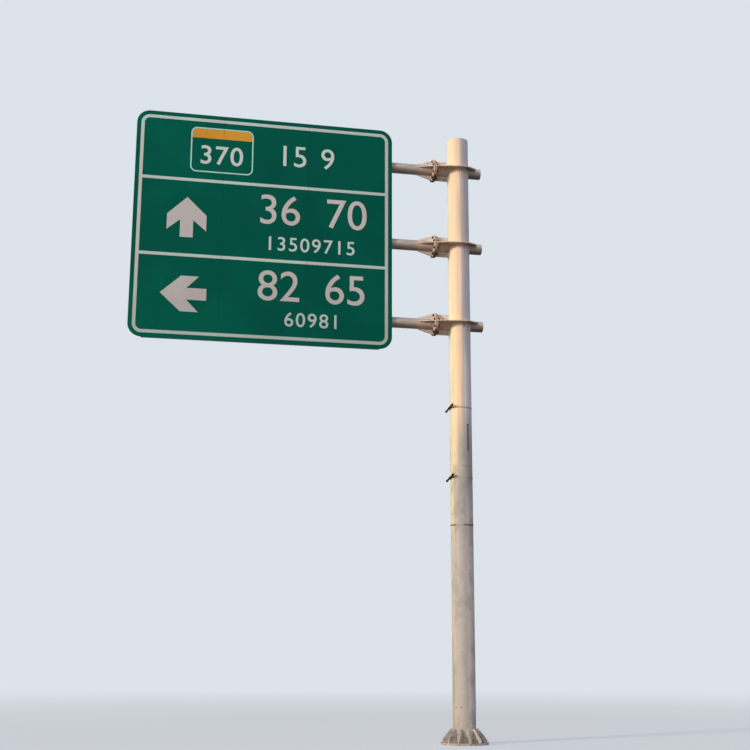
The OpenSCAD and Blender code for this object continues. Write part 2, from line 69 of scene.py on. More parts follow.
# Upright channels behind the sign
CHANNELS = 8
# Faces that meet at a larger angle than this keep a sharp edge between them
SHARP_DEG = 32
# Points round each kind of round part
DISC_POINTS, WASHER_POINTS, HEX_POINTS = 32, 28, 36
THREAD_POINTS, ROD_POINTS, SHANK_POINTS = 24, 24, 20
BAR_POINTS, RIVET_POINTS, BEAD_POINTS = 24, 12, 5
TUBE_POINTS, POST_POINTS, ARC_POINTS = 130, 256, 96
# Parts of a bolt, as shares of its diameter, and how far their rims are eased
ACROSS_FLATS, HEAD_H, NUT_H, WIDE_WASHER_R = 1.5, 0.63, 0.8, 0.95
WASHER_EDGE, SHANK_EDGE = 0.4 * MM, 0.2 * MM
# The turned end of a hexagon: its angle, and its share of the width
HEX_SLOPE = math.radians(30)
HEX_FACE = 0.95
# Depth of a thread, as a share of its pitch, and rings in one pitch
THREAD_DEPTH = 0.55
THREAD_RINGS = 4


class Level(Enum):
    """The three arms, named as their nodes' endings are."""

    BOTTOM = "bottom"
    MIDDLE = "middle"
    TOP = "top"


@dataclass(frozen=True)
class Layout:
    """Sizes that several pieces share, read from the CAD nodes' boxes.

    Attributes:
        post_r: Outside radius of the post.
        base_r: Radius of the base flange.
        base_t: Thickness of the base flange.
        arm_r: Outside radius of an arm tube.
        heights: Height of each arm's axis.
        stub_face: X of the stub flange's face on the post's side.
        arm_face: X of the arm flange's face on the sign's side.
        plate_tail_x: X of a ring plate's tip, along the tail.
        plate_t: Thickness of a ring plate.
        plate_lift: Height of the ring plates' middle above the arm's axis.
        gusset_r: Reach of a gusset from the arm's axis.
        gusset_t: Thickness of a gusset.
        gusset_end_x: X of an arm gusset's toe.
        sign: Left, right, bottom and top of the sign.
        sheet_front: Y of the sheets' front.
        sheet_back: Y of the sheets' back.
    """

    post_r: float
    base_r: float
    base_t: float
    arm_r: float
    heights: dict[Level, float]
    stub_face: float
    arm_face: float
    plate_tail_x: float
    plate_t: float
    plate_lift: float
    gusset_r: float
    gusset_t: float
    gusset_end_x: float
    sign: tuple[float, float, float, float]
    sheet_front: float
    sheet_back: float

    @classmethod
    def read(cls) -> "Layout":
        """Reads the sizes from the loaded frame.

        Returns:
            The sizes.
        """
        post, base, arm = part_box("post"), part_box("base_flange"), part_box("arm_top")
        near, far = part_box("stub_flange_top"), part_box("arm_flange_top")
        plate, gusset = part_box("ring_plates_top"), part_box("arm_gussets_top")
        upright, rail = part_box("stub_gussets_top"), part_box("edge_rail_top")
        left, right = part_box("sheet_left"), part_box("sheet_right")
        heights = {}
        for level in Level:
            low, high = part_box(f"arm_{level.value}")
            heights[level] = (low.z + high.z) / 2
        return cls(
            post_r=post[1].x,
            base_r=base[1].x,
            base_t=base[1].z,
            arm_r=(arm[1].z - arm[0].z) / 2,
            heights=heights,
            stub_face=near[1].x,
            arm_face=far[0].x,
            plate_tail_x=plate[1].x,
            plate_t=plate[1].z - plate[0].z,
            plate_lift=(plate[0].z + plate[1].z) / 2 - heights[Level.TOP],
            gusset_r=(gusset[1].z - gusset[0].z) / 2,
            gusset_t=upright[1].y - upright[0].y,
            gusset_end_x=gusset[0].x,
            sign=(left[0].x, right[1].x, left[0].z, left[1].z),
            sheet_front=left[0].y,
            sheet_back=rail[0].y,
        )

    @property
    def pitch(self) -> float:
        """Distance from one arm's axis to the next."""
        return self.heights[Level.MIDDLE] - self.heights[Level.BOTTOM]

    @property
    def channels(self) -> np.ndarray:
        """X of each rear channel's middle, spread evenly across the sign."""
        left, right = self.sign[:2]
        return left + (np.arange(CHANNELS) + 1) * (right - left) / (CHANNELS + 1)


def in_scene(name: str, data: bpy.types.ID) -> bpy.types.Object:
    """Puts a mesh, text, lamp or camera into the scene.

    Args:
        name: Name of the new object.
        data: What it shows.

    Returns:
        The object.
    """
    made = bpy.data.objects.new(name, data)
    bpy.context.scene.collection.objects.link(made)
    return made


@dataclass(frozen=True)
class Shape:
    """A mesh while it is worked out: its points and faces as whole arrays.

    Attributes:
        points: Corner points, one row each.
        quads: Four-sided faces as rows of point numbers.
        tris: Three-sided faces as rows of point numbers.
    """

    points: np.ndarray
    quads: np.ndarray
    tris: np.ndarray

    @classmethod
    def grid(cls, points: np.ndarray, closed: bool = False) -> "Shape":
        """Makes a closed skin from rings of points.

        Ring i is points[i]. Each ring is joined to the next by quads, and the
        last point of a ring to its first. A cap is a fan round the mean of
        the end ring. The skin is turned outwards by the sign of its volume,
        the sum of every triangle's triple product.

        Args:
            points: Array of shape (rings, points in a ring, 3).
            closed: Joins the last ring to the first, as on a full circle,
                where both end rings get a cap otherwise.

        Returns:
            The skin.
        """
        rings, count = points.shape[:2]
        number = np.arange(rings * count).reshape(rings, count)
        if closed:
            number = np.vstack([number, number[:1]])
        across = np.roll(number, -1, axis=1)
        quads = np.stack([number[:-1], across[:-1], across[1:], number[1:]], axis=-1)
        flat = points.reshape(-1, 3)
        tris = np.empty((0, 3), int)
        if not closed:
            hubs = points[[0, -1]].mean(axis=1)
            first = np.stack([number[0], np.full(count, len(flat)), across[0]], -1)
            last = np.stack([number[-1], across[-1], np.full(count, len(flat) + 1)], -1)
            flat = np.vstack([flat, hubs])
            tris = np.vstack([first, last])
        return cls(flat, quads.reshape(-1, 4), tris).outward()

    @classmethod
    def join(cls, shapes: Iterable["Shape"]) -> "Shape":
        """Puts several shapes into one.

        Args:
            shapes: The shapes.

        Returns:
            One shape with all their points and faces.
        """
        parts = list(shapes)
        starts = np.cumsum([0] + [len(part.points) for part in parts])
        return cls(
            np.vstack([part.points for part in parts]),
            np.vstack([part.quads + start for part, start in zip(parts, starts)]),
            np.vstack([part.tris + start for part, start in zip(parts, starts)]),
        )

    def outward(self) -> "Shape":
        """Turns the faces of a closed shape outwards.

        Returns:
            The shape itself, or one with its faces turned round.
        """
        halves = self.quads[:, [0, 1, 2]], self.quads[:, [0, 2, 3]]
        corners = np.vstack([*halves, self.tris])
        a, b, c = (self.points[corners[:, i]] for i in range(3))
        if np.einsum("ij,ij->", a, np.cross(b, c)) >= 0:
            return self
        return Shape(self.points, self.quads[:, ::-1], self.tris[:, ::-1])

    def reshaped(self, points: np.ndarray) -> "Shape":
        """Puts the same faces on other points, and turns them outwards."""
        return Shape(points, self.quads, self.tris).outward()

    def copies(self, places: np.ndarray) -> "Shape":
        """Repeats the shape at several places.

        Args:
            places: Turn-and-move matrices, shape (count, 4, 4).

        Returns:
            One shape with all the copies.
        """
        turned = np.einsum("nij,pj->npi", places[:, :3, :3], self.points)
        moved = turned + places[:, None, :3, 3]
        start = (np.arange(len(places)) * len(self.points))[:, None, None]
        return Shape(
            moved.reshape(-1, 3),
            (self.quads[None] + start).reshape(-1, 4),
            (self.tris[None] + start).reshape(-1, 3),
        )

    def piece(
        self,
        name: str,
        slot: str,
        material: bpy.types.Material,
        replaced: Sequence[str] = (),
    ) -> None:
        """Makes the finished object, which rides on the gantry.

        Args:
            name: Name of the piece.
            slot: Name of its material slot, which is not used.
            material: Its finish.
            replaced: CAD nodes that the piece stands for.
        """
        mesh = bpy.data.meshes.new(name)
        sides = np.repeat([4, 3], [len(self.quads), len(self.tris)])
        starts = np.cumsum(sides) - sides
        corners = np.concatenate([self.quads.ravel(), self.tris.ravel()])
        mesh.vertices.add(len(self.points))
        mesh.vertices.foreach_set("co", self.points.astype(np.float32).ravel())
        mesh.loops.add(len(corners))
        mesh.loops.foreach_set("vertex_index", corners.astype(np.int32))
        mesh.polygons.add(len(sides))
        mesh.polygons.foreach_set("loop_start", starts.astype(np.int32))
        mesh.update(calc_edges=True)
        mesh.validate()
        mesh.shade_smooth()
        mesh.set_sharp_from_angle(angle=math.radians(SHARP_DEG))
        mesh.materials.append(material)
        piece = in_scene(name, mesh)
        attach(piece, ROOT)
        if replaced:
            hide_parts(*replaced)
        LOG.info("%s: %d faces", name, len(sides))


def frames(
    origins: np.ndarray, x_axis: Vector, y_axis: Vector, z_axis: Vector
) -> np.ndarray:
    """Makes turn-and-move matrices from the places of a shape's own axes.

    Args:
        origins: Where each copy's origin goes, shape (count, 3).
        x_axis: Direction of its X axis.
        y_axis: Direction of its Y axis.
        z_axis: Direction of its Z axis.

    Returns:
        Matrices of shape (count, 4, 4).
    """
    places = np.tile(np.eye(4), (len(origins), 1, 1))
    for column, axis in enumerate((x_axis, y_axis, z_axis)):
        places[:, :3, column] = axis
    places[:, :3, 3] = origins
    return places


def once_round(count: int) -> np.ndarray:
    """Gives evenly spaced angles that run once round."""
    return np.linspace(0, 2 * np.pi, count, endpoint=False)


def ring(count: int) -> np.ndarray:
    """Gives unit vectors that run once round the Z axis."""
    turn = once_round(count)
    return np.stack([np.cos(turn), np.sin(turn), 0 * turn], axis=-1)


def turned_skin(radius: np.ndarray, height: np.ndarray) -> Shape:
    """Makes a closed skin round the Z axis.

    A point is (r cos a, r sin a, z), where a runs once round, r is the radius
    at ring i and angle a, and z the height there.

    Args:
        radius: Radii, shape (rings, angles).
        height: Heights, of the same shape or one for each ring.

    Returns:
        The skin.
    """
    angle = once_round(radius.shape[1])
    z = np.broadcast_to(np.reshape(height, (len(radius), -1)), radius.shape)
    around = [radius * np.cos(angle), radius * np.sin(angle), z]
    return Shape.grid(np.stack(around, axis=-1))


def disc(
    radius: float, low: float, high: float, edge: float, count: int = DISC_POINTS
) -> Shape:
    """Makes a round plate with eased rims.

    Args:
        radius: Its radius.
        low: Height of its underside.
        high: Height of its top.
        edge: Width of the easing.
        count: Points round it.

    Returns:
        The plate.
    """
    rings = np.array([radius - edge, radius, radius, radius - edge])
    heights = np.array([low, low + edge, high - edge, high])
    return turned_skin(np.tile(rings[:, None], (1, count)), heights)


def hexagon(across: float, low: float, high: float, eased_low: bool = False) -> Shape:
    """Makes a bolt head or a nut, with its corners turned off at 30 degrees.

    At angle a the flat sides lie at (across / 2) / cos(b), where b is the
    angle from the middle of the nearest side. The turned cone starts just
    inside the flats at the end face, and widens away from it. The radius is
    the smaller of the two.

    Args:
        across: Distance across the flats.
        low: Height of its lower face.
        high: Height of its upper face.
        eased_low: Turns the corners off at the lower face too.

    Returns:
        The hexagon.
    """
    half_side = np.pi / 6
    angle = once_round(HEX_POINTS) + half_side
    flat = across / 2 / np.cos(angle % (2 * half_side) - half_side)
    ease = across * (1 / math.cos(half_side) - HEX_FACE) / 2
    steps = ease * math.tan(HEX_SLOPE) * np.array([1, 0.6, 0.3, 0])
    height = np.concatenate([low + steps[::-1] if eased_low else [low], high - steps])
    from_end = np.minimum(high - height, height - low if eased_low else np.inf)
    cone = HEX_FACE * across / 2 + from_end / math.tan(HEX_SLOPE)
    return turned_skin(np.minimum(flat[None], cone[:, None]), height)


def threaded_rod(radius: float, low: float, high: float, pitch: float) -> Shape:
    """Makes a threaded length with a pointed tip at its upper end.

    At angle a (as a share of a turn) and height z the ridge follows a
    triangle wave of z / pitch - a, between the core and the full radius. Near
    the tip a cone of 45 degrees limits it.

    Args:
        radius: Outside radius of the thread.
        low: Height where it starts.
        high: Height of the tip.
        pitch: Distance from ridge to ridge.

    Returns:
        The length.
    """
    steps = int(round((high - low) / pitch * THREAD_RINGS))
    z = np.linspace(low, high, max(THREAD_RINGS, steps + 1))[:, None]
    share = np.linspace(0, 1, THREAD_POINTS, endpoint=False)[None]
    wave = 1 - np.abs(2 * ((z / pitch - share) % 1) - 1)
    ridge = radius - THREAD_DEPTH * pitch * (1 - wave)
    tip = radius - 2 * THREAD_DEPTH * pitch + (high - z)
    return turned_skin(np.minimum(ridge, tip), z)


def nut_end(
    size: float,
    washer: tuple[float, float, float],
    tip: float,
    pitch: float,
    count: int = WASHER_POINTS,
) -> list[Shape]:
    """Makes a washer, a nut on it and the thread past it, along +Z.

    Args:
        size: Diameter of the thread.
        washer: Radius of the washer, and heights of its underside and top.
        tip: How far the thread stands out of the nut.
        pitch: Distance between the ridges of the thread.
        count: Points round the washer.

    Returns:
        The washer, the nut and the thread.
    """
    radius, seat, top = washer
    nut_top = top + NUT_H * size
    return [
        disc(radius, seat, top, WASHER_EDGE, count),
        hexagon(ACROSS_FLATS * size, top, nut_top, eased_low=True),
        threaded_rod(size / 2, nut_top - MM, nut_top + tip, pitch),
    ]


def rounded_bar(
    width: float, depth: float, low: float, high: float, corner: float
) -> Shape:
    """Makes an upright bar with round corners and eased ends.

    Its outline is a rectangle with quarter circles of radius corner. The end
    rings are drawn in by half that radius.

    Args:
        width: Size along X.
        depth: Size along Y.
        low: Height of its underside.
        high: Height of its top.
        corner: Corner radius.

    Returns:
        The bar.
    """
    angle = once_round(BAR_POINTS) + np.pi / BAR_POINTS
    out = np.stack([np.cos(angle), np.sin(angle)], axis=-1)
    centres = np.sign(out) * (np.array([width / 2, depth / 2]) - corner)
    ease = corner / 2
    outline, inner = centres + corner * out, centres + ease * out
    rows = [(inner, low), (outline, low + ease), (outline, high - ease), (inner, high)]
    return Shape.grid(np.stack([np.insert(row, 2, z, axis=1) for row, z in rows]))


@dataclass(frozen=True)
class Seam:
    """A fillet weld along the corner between two faces.

    Attributes:
        path: Points along the corner.
        side_a: Direction along the first face, away from the corner.
        side_b: Direction along the second face, away from the corner.
        leg: Width of the weld on each face.
        closed: The path comes back to its start.
        flatness: 0 for a round bead and 1 for a flat one.
        root: How far the bead reaches into the metal.
        ripple: Distance from ripple to ripple.
        ripple_h: Share of the leg by which a ripple swells it.
        drift: Length of the longer sine, divided by two pi.
        drift_h: Share of the leg by which that swells it.
    """

    path: np.ndarray
    side_a: Vector
    side_b: Vector
    leg: float = 8 * MM
    closed: bool = False
    flatness: float = 0.55
    root: float = 1 * MM
    ripple: float = 9 * MM
    ripple_h: float = 0.07
    drift: float = 70 * MM
    drift_h: float = 0.05

    def shape(self) -> Shape:
        """Carries the weld's section along its path.

        With t from 0 to 90 degrees, a section point is the path's point plus
        leg * k * (a cos t + b sin t). The factor k lies between 1, a round
        bead, and 1 / (cos t + sin t), a flat one. A root point just inside
        the metal closes the section. The leg swells and shrinks by one sine
        of the distance along the path for the ripples, and by a longer one
        for the unsteady hand.

        Returns:
            The bead.
        """
        path = np.asarray(self.path)
        side_a = np.broadcast_to(self.side_a, path.shape)[:, None]
        side_b = np.broadcast_to(self.side_b, path.shape)[:, None]
        turn = np.linspace(0, np.pi / 2, BEAD_POINTS)
        flat = 1 / (np.cos(turn) + np.sin(turn))
        bulge = (1 - self.flatness) + self.flatness * flat
        steps = np.linalg.norm(np.diff(path, axis=0), axis=1)
        along = np.concatenate([[0], np.cumsum(steps)])
        ripples = self.ripple_h * np.sin(along / self.ripple * 2 * np.pi)
        drifts = self.drift_h * np.sin(along / self.drift)
        reach = (self.leg * (1 + ripples + drifts))[:, None] * bulge
        curve = reach[..., None] * (
            side_a * np.cos(turn)[:, None] + side_b * np.sin(turn)[:, None]
        )
        inside = -self.root * (side_a + side_b)
        section = path[:, None] + np.concatenate([inside, curve], axis=1)
        return Shape.grid(section, self.closed)


def stretch(start: Vector, end: Vector, step: float = 4 * MM) -> np.ndarray:
    """Places points along a straight line.

    Args:
        start: First point.
        end: Last point.
        step: About how far they lie apart.

    Returns:
        The points.
    """
    first, last = np.array(start, float), np.array(end, float)
    count = max(2, int(np.linalg.norm(last - first) / step) + 1)
    return first + np.linspace(0, 1, count)[:, None] * (last - first)


def linear(hex_colour: str) -> tuple[float, float, float, float]:
    """Turns an sRGB hex colour into Blender's linear one.

    Args:
        hex_colour: Colour as #RRGGBB.

    Returns:
        Red, green, blue and an alpha of 1.
    """
    parts = [int(hex_colour[i : i + 2], 16) / 255 for i in (1, 3, 5)]
    rgb = [c / 12.92 if c <= 0.04045 else ((c + 0.055) / 1.055) ** 2.4 for c in parts]
    return (*rgb, 1.0)


def feed(node: bpy.types.Node, inputs: dict) -> None:
    """Sets a node's inputs, or links them.

    Args:
        node: The node.
        inputs: Socket name or number, with its value or the socket to link.
    """
    for key, value in inputs.items():
        if isinstance(value, bpy.types.NodeSocket):
            node.id_data.links.new(value, node.inputs[key])
        else:
            node.inputs[key].default_value = value


def add(
    tree: bpy.types.NodeTree, kind: str, inputs: dict | None = None, **settings: object
) -> bpy.types.Node:
    """Adds a node with its settings, values and links.

    Args:
        tree: Node tree that gets it.
        kind: Blender's name for it, without ShaderNode.
        inputs: Socket name or number, with its value or the socket to link.
        settings: The node's own settings.

    Returns:
        The node.
    """
    node = tree.nodes.new("ShaderNode" + kind)
    for name, value in settings.items():
        setattr(node, name, value)
    feed(node, inputs or {})
    return node


class Gauge(Enum):
    """What a ramp measures at a point of the surface, in mm or degrees."""

    X = "along the arms, from the post's axis"
    Y = "behind the post's axis"
    Z = "above the foot"
    LEVEL = "above the nearest arm's axis"
    FROM_POST = "from the post's axis"
    FROM_ARM = "from the nearest arm's axis"
    TURN = "degrees round the post, from the front towards the sign"
    FACING_X = "how far the surface faces +X, from -1 to 1"
    FACING_Y = "how far the surface faces +Y, from -1 to 1"
    FACING_Z = "how far the surface faces up, from -1 to 1"

    @property
    def unit(self) -> float:
        """Size of the gauge's unit on its socket."""
        plain = (Gauge.TURN, Gauge.FACING_X, Gauge.FACING_Y, Gauge.FACING_Z)
        return 1.0 if self in plain else MM


class Gauges:
    """Sockets in one material that measure where a point of the surface is."""

    def __init__(self, tree: bpy.types.NodeTree, layout: Layout) -> None:
        """Starts from the object's own coordinates.

        Args:
            tree: The material's node tree.
            layout: Shared sizes.
        """
        self.tree = tree
        self.layout = layout
        self.coords = add(tree, "TexCoord").outputs["Object"]
        self.made: dict[Gauge, bpy.types.NodeSocket] = {}

    def socket(self, gauge: Gauge) -> bpy.types.NodeSocket:
        """Gives a gauge's socket, made at its first use.

        Args:
            gauge: What to measure.

        Returns:
            The socket with the measure.
        """
        if gauge not in self.made:
            self._make(gauge)
        return self.made[gauge]

    def _make(self, gauge: Gauge) -> None:
        """Adds the nodes of a gauge.

        Args:
            gauge: What to measure.
        """
        tree = self.tree
        if gauge in (Gauge.X, Gauge.Y, Gauge.Z):
            split = add(tree, "SeparateXYZ", {0: self.coords})
            self.made.update(zip((Gauge.X, Gauge.Y, Gauge.Z), split.outputs))
        elif gauge in (Gauge.FACING_X, Gauge.FACING_Y, Gauge.FACING_Z):
            normal = add(tree, "NewGeometry").outputs["Normal"]
            split = add(tree, "SeparateXYZ", {0: normal})
            facing = (Gauge.FACING_X, Gauge.FACING_Y, Gauge.FACING_Z)
            self.made.update(zip(facing, split.outputs))
        elif gauge is Gauge.LEVEL:
            inputs = {0: self.socket(Gauge.Z), 1: self.layout.heights[Level.BOTTOM]}
            above = add(tree, "Math", inputs, operation="SUBTRACT")
            half = self.layout.pitch / 2
            limits = {0: above.outputs[0], 1: half, 2: -half}
            self.made[gauge] = add(tree, "Math", limits, operation="WRAP").outputs[0]
        elif gauge is Gauge.TURN:
            back = [
                add(tree, "Math", {0: self.socket(axis), 1: -1.0}, operation="MULTIPLY")
                for axis in (Gauge.X, Gauge.Y)
            ]
            sockets = {i: node.outputs[0] for i, node in enumerate(back)}
            turn = add(tree, "Math", sockets, operation="ARCTAN2")
            in_degrees = add(tree, "Math", {0: turn.outputs[0]}, operation="DEGREES")
            self.made[gauge] = in_degrees.outputs[0]
        else:
            other = Gauge.X if gauge is Gauge.FROM_POST else Gauge.LEVEL
            inputs = {0: self.socket(other), 1: self.socket(Gauge.Y)}
            flat = add(tree, "CombineXYZ", inputs)
            away = add(tree, "VectorMath", {0: flat.outputs[0]}, operation="LENGTH")
            self.made[gauge] = away.outputs["Value"]


@dataclass(frozen=True)
class Ramp:
    """Mask that rises smoothly from 0 at start to 1 at end of a gauge.

    Attributes:
        gauge: What it measures.
        start: Measure where the mask is 0.
        end: Measure where the mask is 1, on either side of start.
    """

    gauge: Gauge
    start: float
    end: float

    def socket(self, gauges: Gauges) -> bpy.types.NodeSocket:
        """Adds the mask's nodes.

        Args:
            gauges: The material's gauges.

        Returns:
            The socket with the mask.
        """
        start, end = self.start * self.gauge.unit, self.end * self.gauge.unit
        inputs = {0: gauges.socket(self.gauge), 1: start, 2: end}
        node = add(gauges.tree, "MapRange", inputs, interpolation_type="SMOOTHSTEP")
        return node.outputs[0]


def at_height(start: float, end: float) -> Ramp:
    """Makes a ramp of the height above the foot."""
    return Ramp(Gauge.Z, start, end)


def at_level(start: float, end: float) -> Ramp:
    """Makes a ramp of the height above the nearest arm's axis."""
    return Ramp(Gauge.LEVEL, start, end)


def at_x(start: float, end: float) -> Ramp:
    """Makes a ramp of the place along the arms."""
    return Ramp(Gauge.X, start, end)


def facing_x(start: float, end: float) -> Ramp:
    """Makes a ramp of how far the surface faces away from the sign."""
    return Ramp(Gauge.FACING_X, start, end)


def band(gauge: Gauge, middle: float, half: float, fade: float) -> tuple[Ramp, Ramp]:
    """Makes the two ramps whose product is a soft-edged band.

    Args:
        gauge: What it measures.
        middle: Middle of the band.
        half: Half its width, where it is full.
        fade: Width of each soft edge.

    Returns:
        Its lower and upper ramp.
    """
    low, high = middle - half, middle + half
    return Ramp(gauge, low - fade, low), Ramp(gauge, high + fade, high)


# How far a pattern moves along X, Y and Z from one seed to the next
SEED_STEP = (7.31, 3.77, 5.19)


@dataclass(frozen=True)
class Cloud:
    """Mask of cloudy patches.

    Attributes:
        size_mm: About how wide a patch is.
        low: Noise level that gives 0.
        high: Noise level that gives 1.
        longer: How many times longer a patch is along X, Y and Z.
        detail: Levels of finer noise on it.
        seed: Moves the pattern.
    """

    size_mm: float
    low: float = 0.45
    high: float = 0.6
    longer: tuple[float, float, float] = (1.0, 1.0, 1.0)
    detail: float = 3.0
    seed: float = 0.0

    def socket(self, gauges: Gauges) -> bpy.types.NodeSocket:
        """Adds the mask's nodes.

        Args:
            gauges: The material's gauges.

        Returns:
            The socket with the mask.
        """
        tree = gauges.tree
        scale = [1 / (self.size_mm * MM * longer) for longer in self.longer]
        place = [self.seed * step for step in SEED_STEP]
        mapped = add(tree, "Mapping", {0: gauges.coords, 1: place, 3: scale})
        inputs = {"Vector": mapped.outputs[0], "Scale": 1.0, "Detail": self.detail}
        noise = add(tree, "TexNoise", inputs)
        limits = {0: noise.outputs[0], 1: self.low, 2: self.high}
        node = add(tree, "MapRange", limits, interpolation_type="SMOOTHSTEP")
        return node.outputs[0]


@dataclass(frozen=True)
class Grains:
    """Mask with one even value in each crystal, as on a hot-dip zinc skin.

    Attributes:
        size_mm: Width of a crystal.
        low: Random level that gives 0.
        high: Random level that gives 1.
    """

    size_mm: float
    low: float = 0.0
    high: float = 1.0

    def socket(self, gauges: Gauges) -> bpy.types.NodeSocket:
        """Adds the mask's nodes.

        Args:
            gauges: The material's gauges.

        Returns:
            The socket with the mask.
        """
        inputs = {"Vector": gauges.coords, "Scale": 1 / (self.size_mm * MM)}
        cells = add(gauges.tree, "TexVoronoi", inputs)
        split = add(gauges.tree, "SeparateXYZ", {0: cells.outputs["Color"]})
        limits = {0: split.outputs[0], 1: self.low, 2: self.high}
        return add(gauges.tree, "MapRange", limits).outputs[0]


@dataclass(frozen=True)
class Lattice:
    """Mask of the diamond seal lines in retroreflective sheeting.

    Attributes:
        size_mm: Side of a diamond.
        line_mm: Width of a seal line.
    """

    size_mm: float
    line_mm: float

    def socket(self, gauges: Gauges) -> bpy.types.NodeSocket:
        """Adds the mask's nodes.

        Args:
            gauges: The material's gauges.

        Returns:
            The socket with the mask.
        """
        tree = gauges.tree
        # The slice at the face is cut through the middle of one cell layer
        turn, flat = (0, math.radians(45), 0), (1.0, 0.0, 1.0)
        turned = add(tree, "Mapping", {0: gauges.coords, 2: turn, 3: flat}).outputs[0]
        inputs = {"Vector": turned, "Scale": 1 / (self.size_mm * MM), "Randomness": 0.0}
        cells = add(tree, "TexVoronoi", inputs, feature="DISTANCE_TO_EDGE")
        edge = self.line_mm / self.size_mm / 2
        limits = {0: cells.outputs["Distance"], 1: 1.5 * edge, 2: 0.5 * edge}
        node = add(tree, "MapRange", limits, interpolation_type="SMOOTHSTEP")
        return node.outputs[0]


Mask = Ramp | Cloud | Grains | Lattice


@dataclass(frozen=True)
class Stain:
    """A layer over a finish, such as dirt, rust, a film, or painted light or shade.

    Attributes:
        colour: Its colour as sRGB hex.
        strength: How much of it shows where its masks are full.
        masks: Masks whose product says where it lies.
        roughness: Roughness of the layer, where it differs.
        metallic: Metalness of the layer, where it differs.
    """

    colour: str
    strength: float
    masks: tuple[Mask, ...]
    roughness: float | None = None
    metallic: float | None = None


@dataclass(frozen=True)
class Relief:
    """Fine unevenness of a surface.

    Attributes:
        mask: Pattern of its height.
        depth_mm: Height from its lowest to its highest point.
    """

    mask: Mask
    depth_mm: float


# Rays that look for an edge to ease, at each point of a surface
EDGE_SAMPLES = 4


@dataclass(frozen=True)
class Finish:
    """A material, built up in layers.

    Attributes:
        name: What the real one is.
        slot: Name of its material slot.
        colour: Colour of the clean surface as sRGB hex.
        roughness: Roughness of the clean surface.
        metallic: Metalness of the clean surface.
        specular: Strength of the gloss, 0.5 being a plain lacquer.
        stains: Layers over it, the lowest first.
        reliefs: Unevenness, the coarsest first.
        edge_mm: Radius by which its edges look eased.
    """

    name: str
    slot: str
    colour: str
    roughness: float
    metallic: float = 0.0
    specular: float = 0.5
    stains: tuple[Stain, ...] = ()
    reliefs: tuple[Relief, ...] = ()
    edge_mm: float = 1.0

    def material(self, layout: Layout) -> bpy.types.Material:
        """Builds the material, or gives it back if it is there already.

        Args:
            layout: Shared sizes.

        Returns:
            The material.
        """
        made = bpy.data.materials.get(self.name)
        if made:
            return made
        made = bpy.data.materials.new(self.name)
        made.use_nodes = True
        tree = made.node_tree
        gauges = Gauges(tree, layout)
        values: dict[str, object] = {
            "Base Color": linear(self.colour),
            "Roughness": self.roughness,
            "Metallic": self.metallic,
            "Specular IOR Level": self.specular,
        }
        for stain in self.stains:
            self._lay(stain, gauges, values)
        normal = None
        if self.edge_mm:
            radius = self.edge_mm * MM
            rounded = add(tree, "Bevel", {"Radius": radius}, samples=EDGE_SAMPLES)
            normal = rounded.outputs[0]
        for relief in self.reliefs:
            height, depth = relief.mask.socket(gauges), relief.depth_mm * MM
            inputs = {"Height": height, "Distance": depth, "Strength": 1.0}
            if normal:
                inputs["Normal"] = normal
            normal = add(tree, "Bump", inputs).outputs[0]
        if normal:
            values["Normal"] = normal
        feed(tree.nodes["Principled BSDF"], values)
        return made

    def _lay(self, stain: Stain, gauges: Gauges, values: dict[str, object]) -> None:
        """Lays one stain over what is there.

        Args:
            stain: The stain.
            gauges: The material's gauges.
            values: Value or socket of each input, which it changes.
        """
        tree = gauges.tree
        share: object = stain.strength
        for mask in stain.masks:
            inputs = {0: share, 1: mask.socket(gauges)}
            share = add(tree, "Math", inputs, operation="MULTIPLY").outputs[0]
        mixed = {0: share, 6: values["Base Color"], 7: linear(stain.colour)}
        values["Base Color"] = add(tree, "Mix", mixed, data_type="RGBA").outputs[2]
        targets = {"Roughness": stain.roughness, "Metallic": stain.metallic}
        for name, target in targets.items():
            if target is not None:
                mixed = {0: share, 2: values[name], 3: target}
                values[name] = add(tree, "Mix", mixed, data_type="FLOAT").outputs[0]


RUST = "#7B4727"
DARK_RUST = "#4A2A1B"
GRIME = "#6B6154"
# Mask of surfaces that face down, where shade and bounce light are painted
FROM_BELOW = Ramp(Gauge.FACING_Z, 0.15, -0.8)

# Oil paint, brushed over a hot-dip zinc coat: an even half-gloss skin that chalks and holds
# dirt, with shade painted dark on its undersides
ORANGE_PEEL = (
    Relief(Cloud(160, 0.3, 0.7, (1, 1, 3)), 0.5),
    Relief(Cloud(4, 0.3, 0.7), 0.06),
)
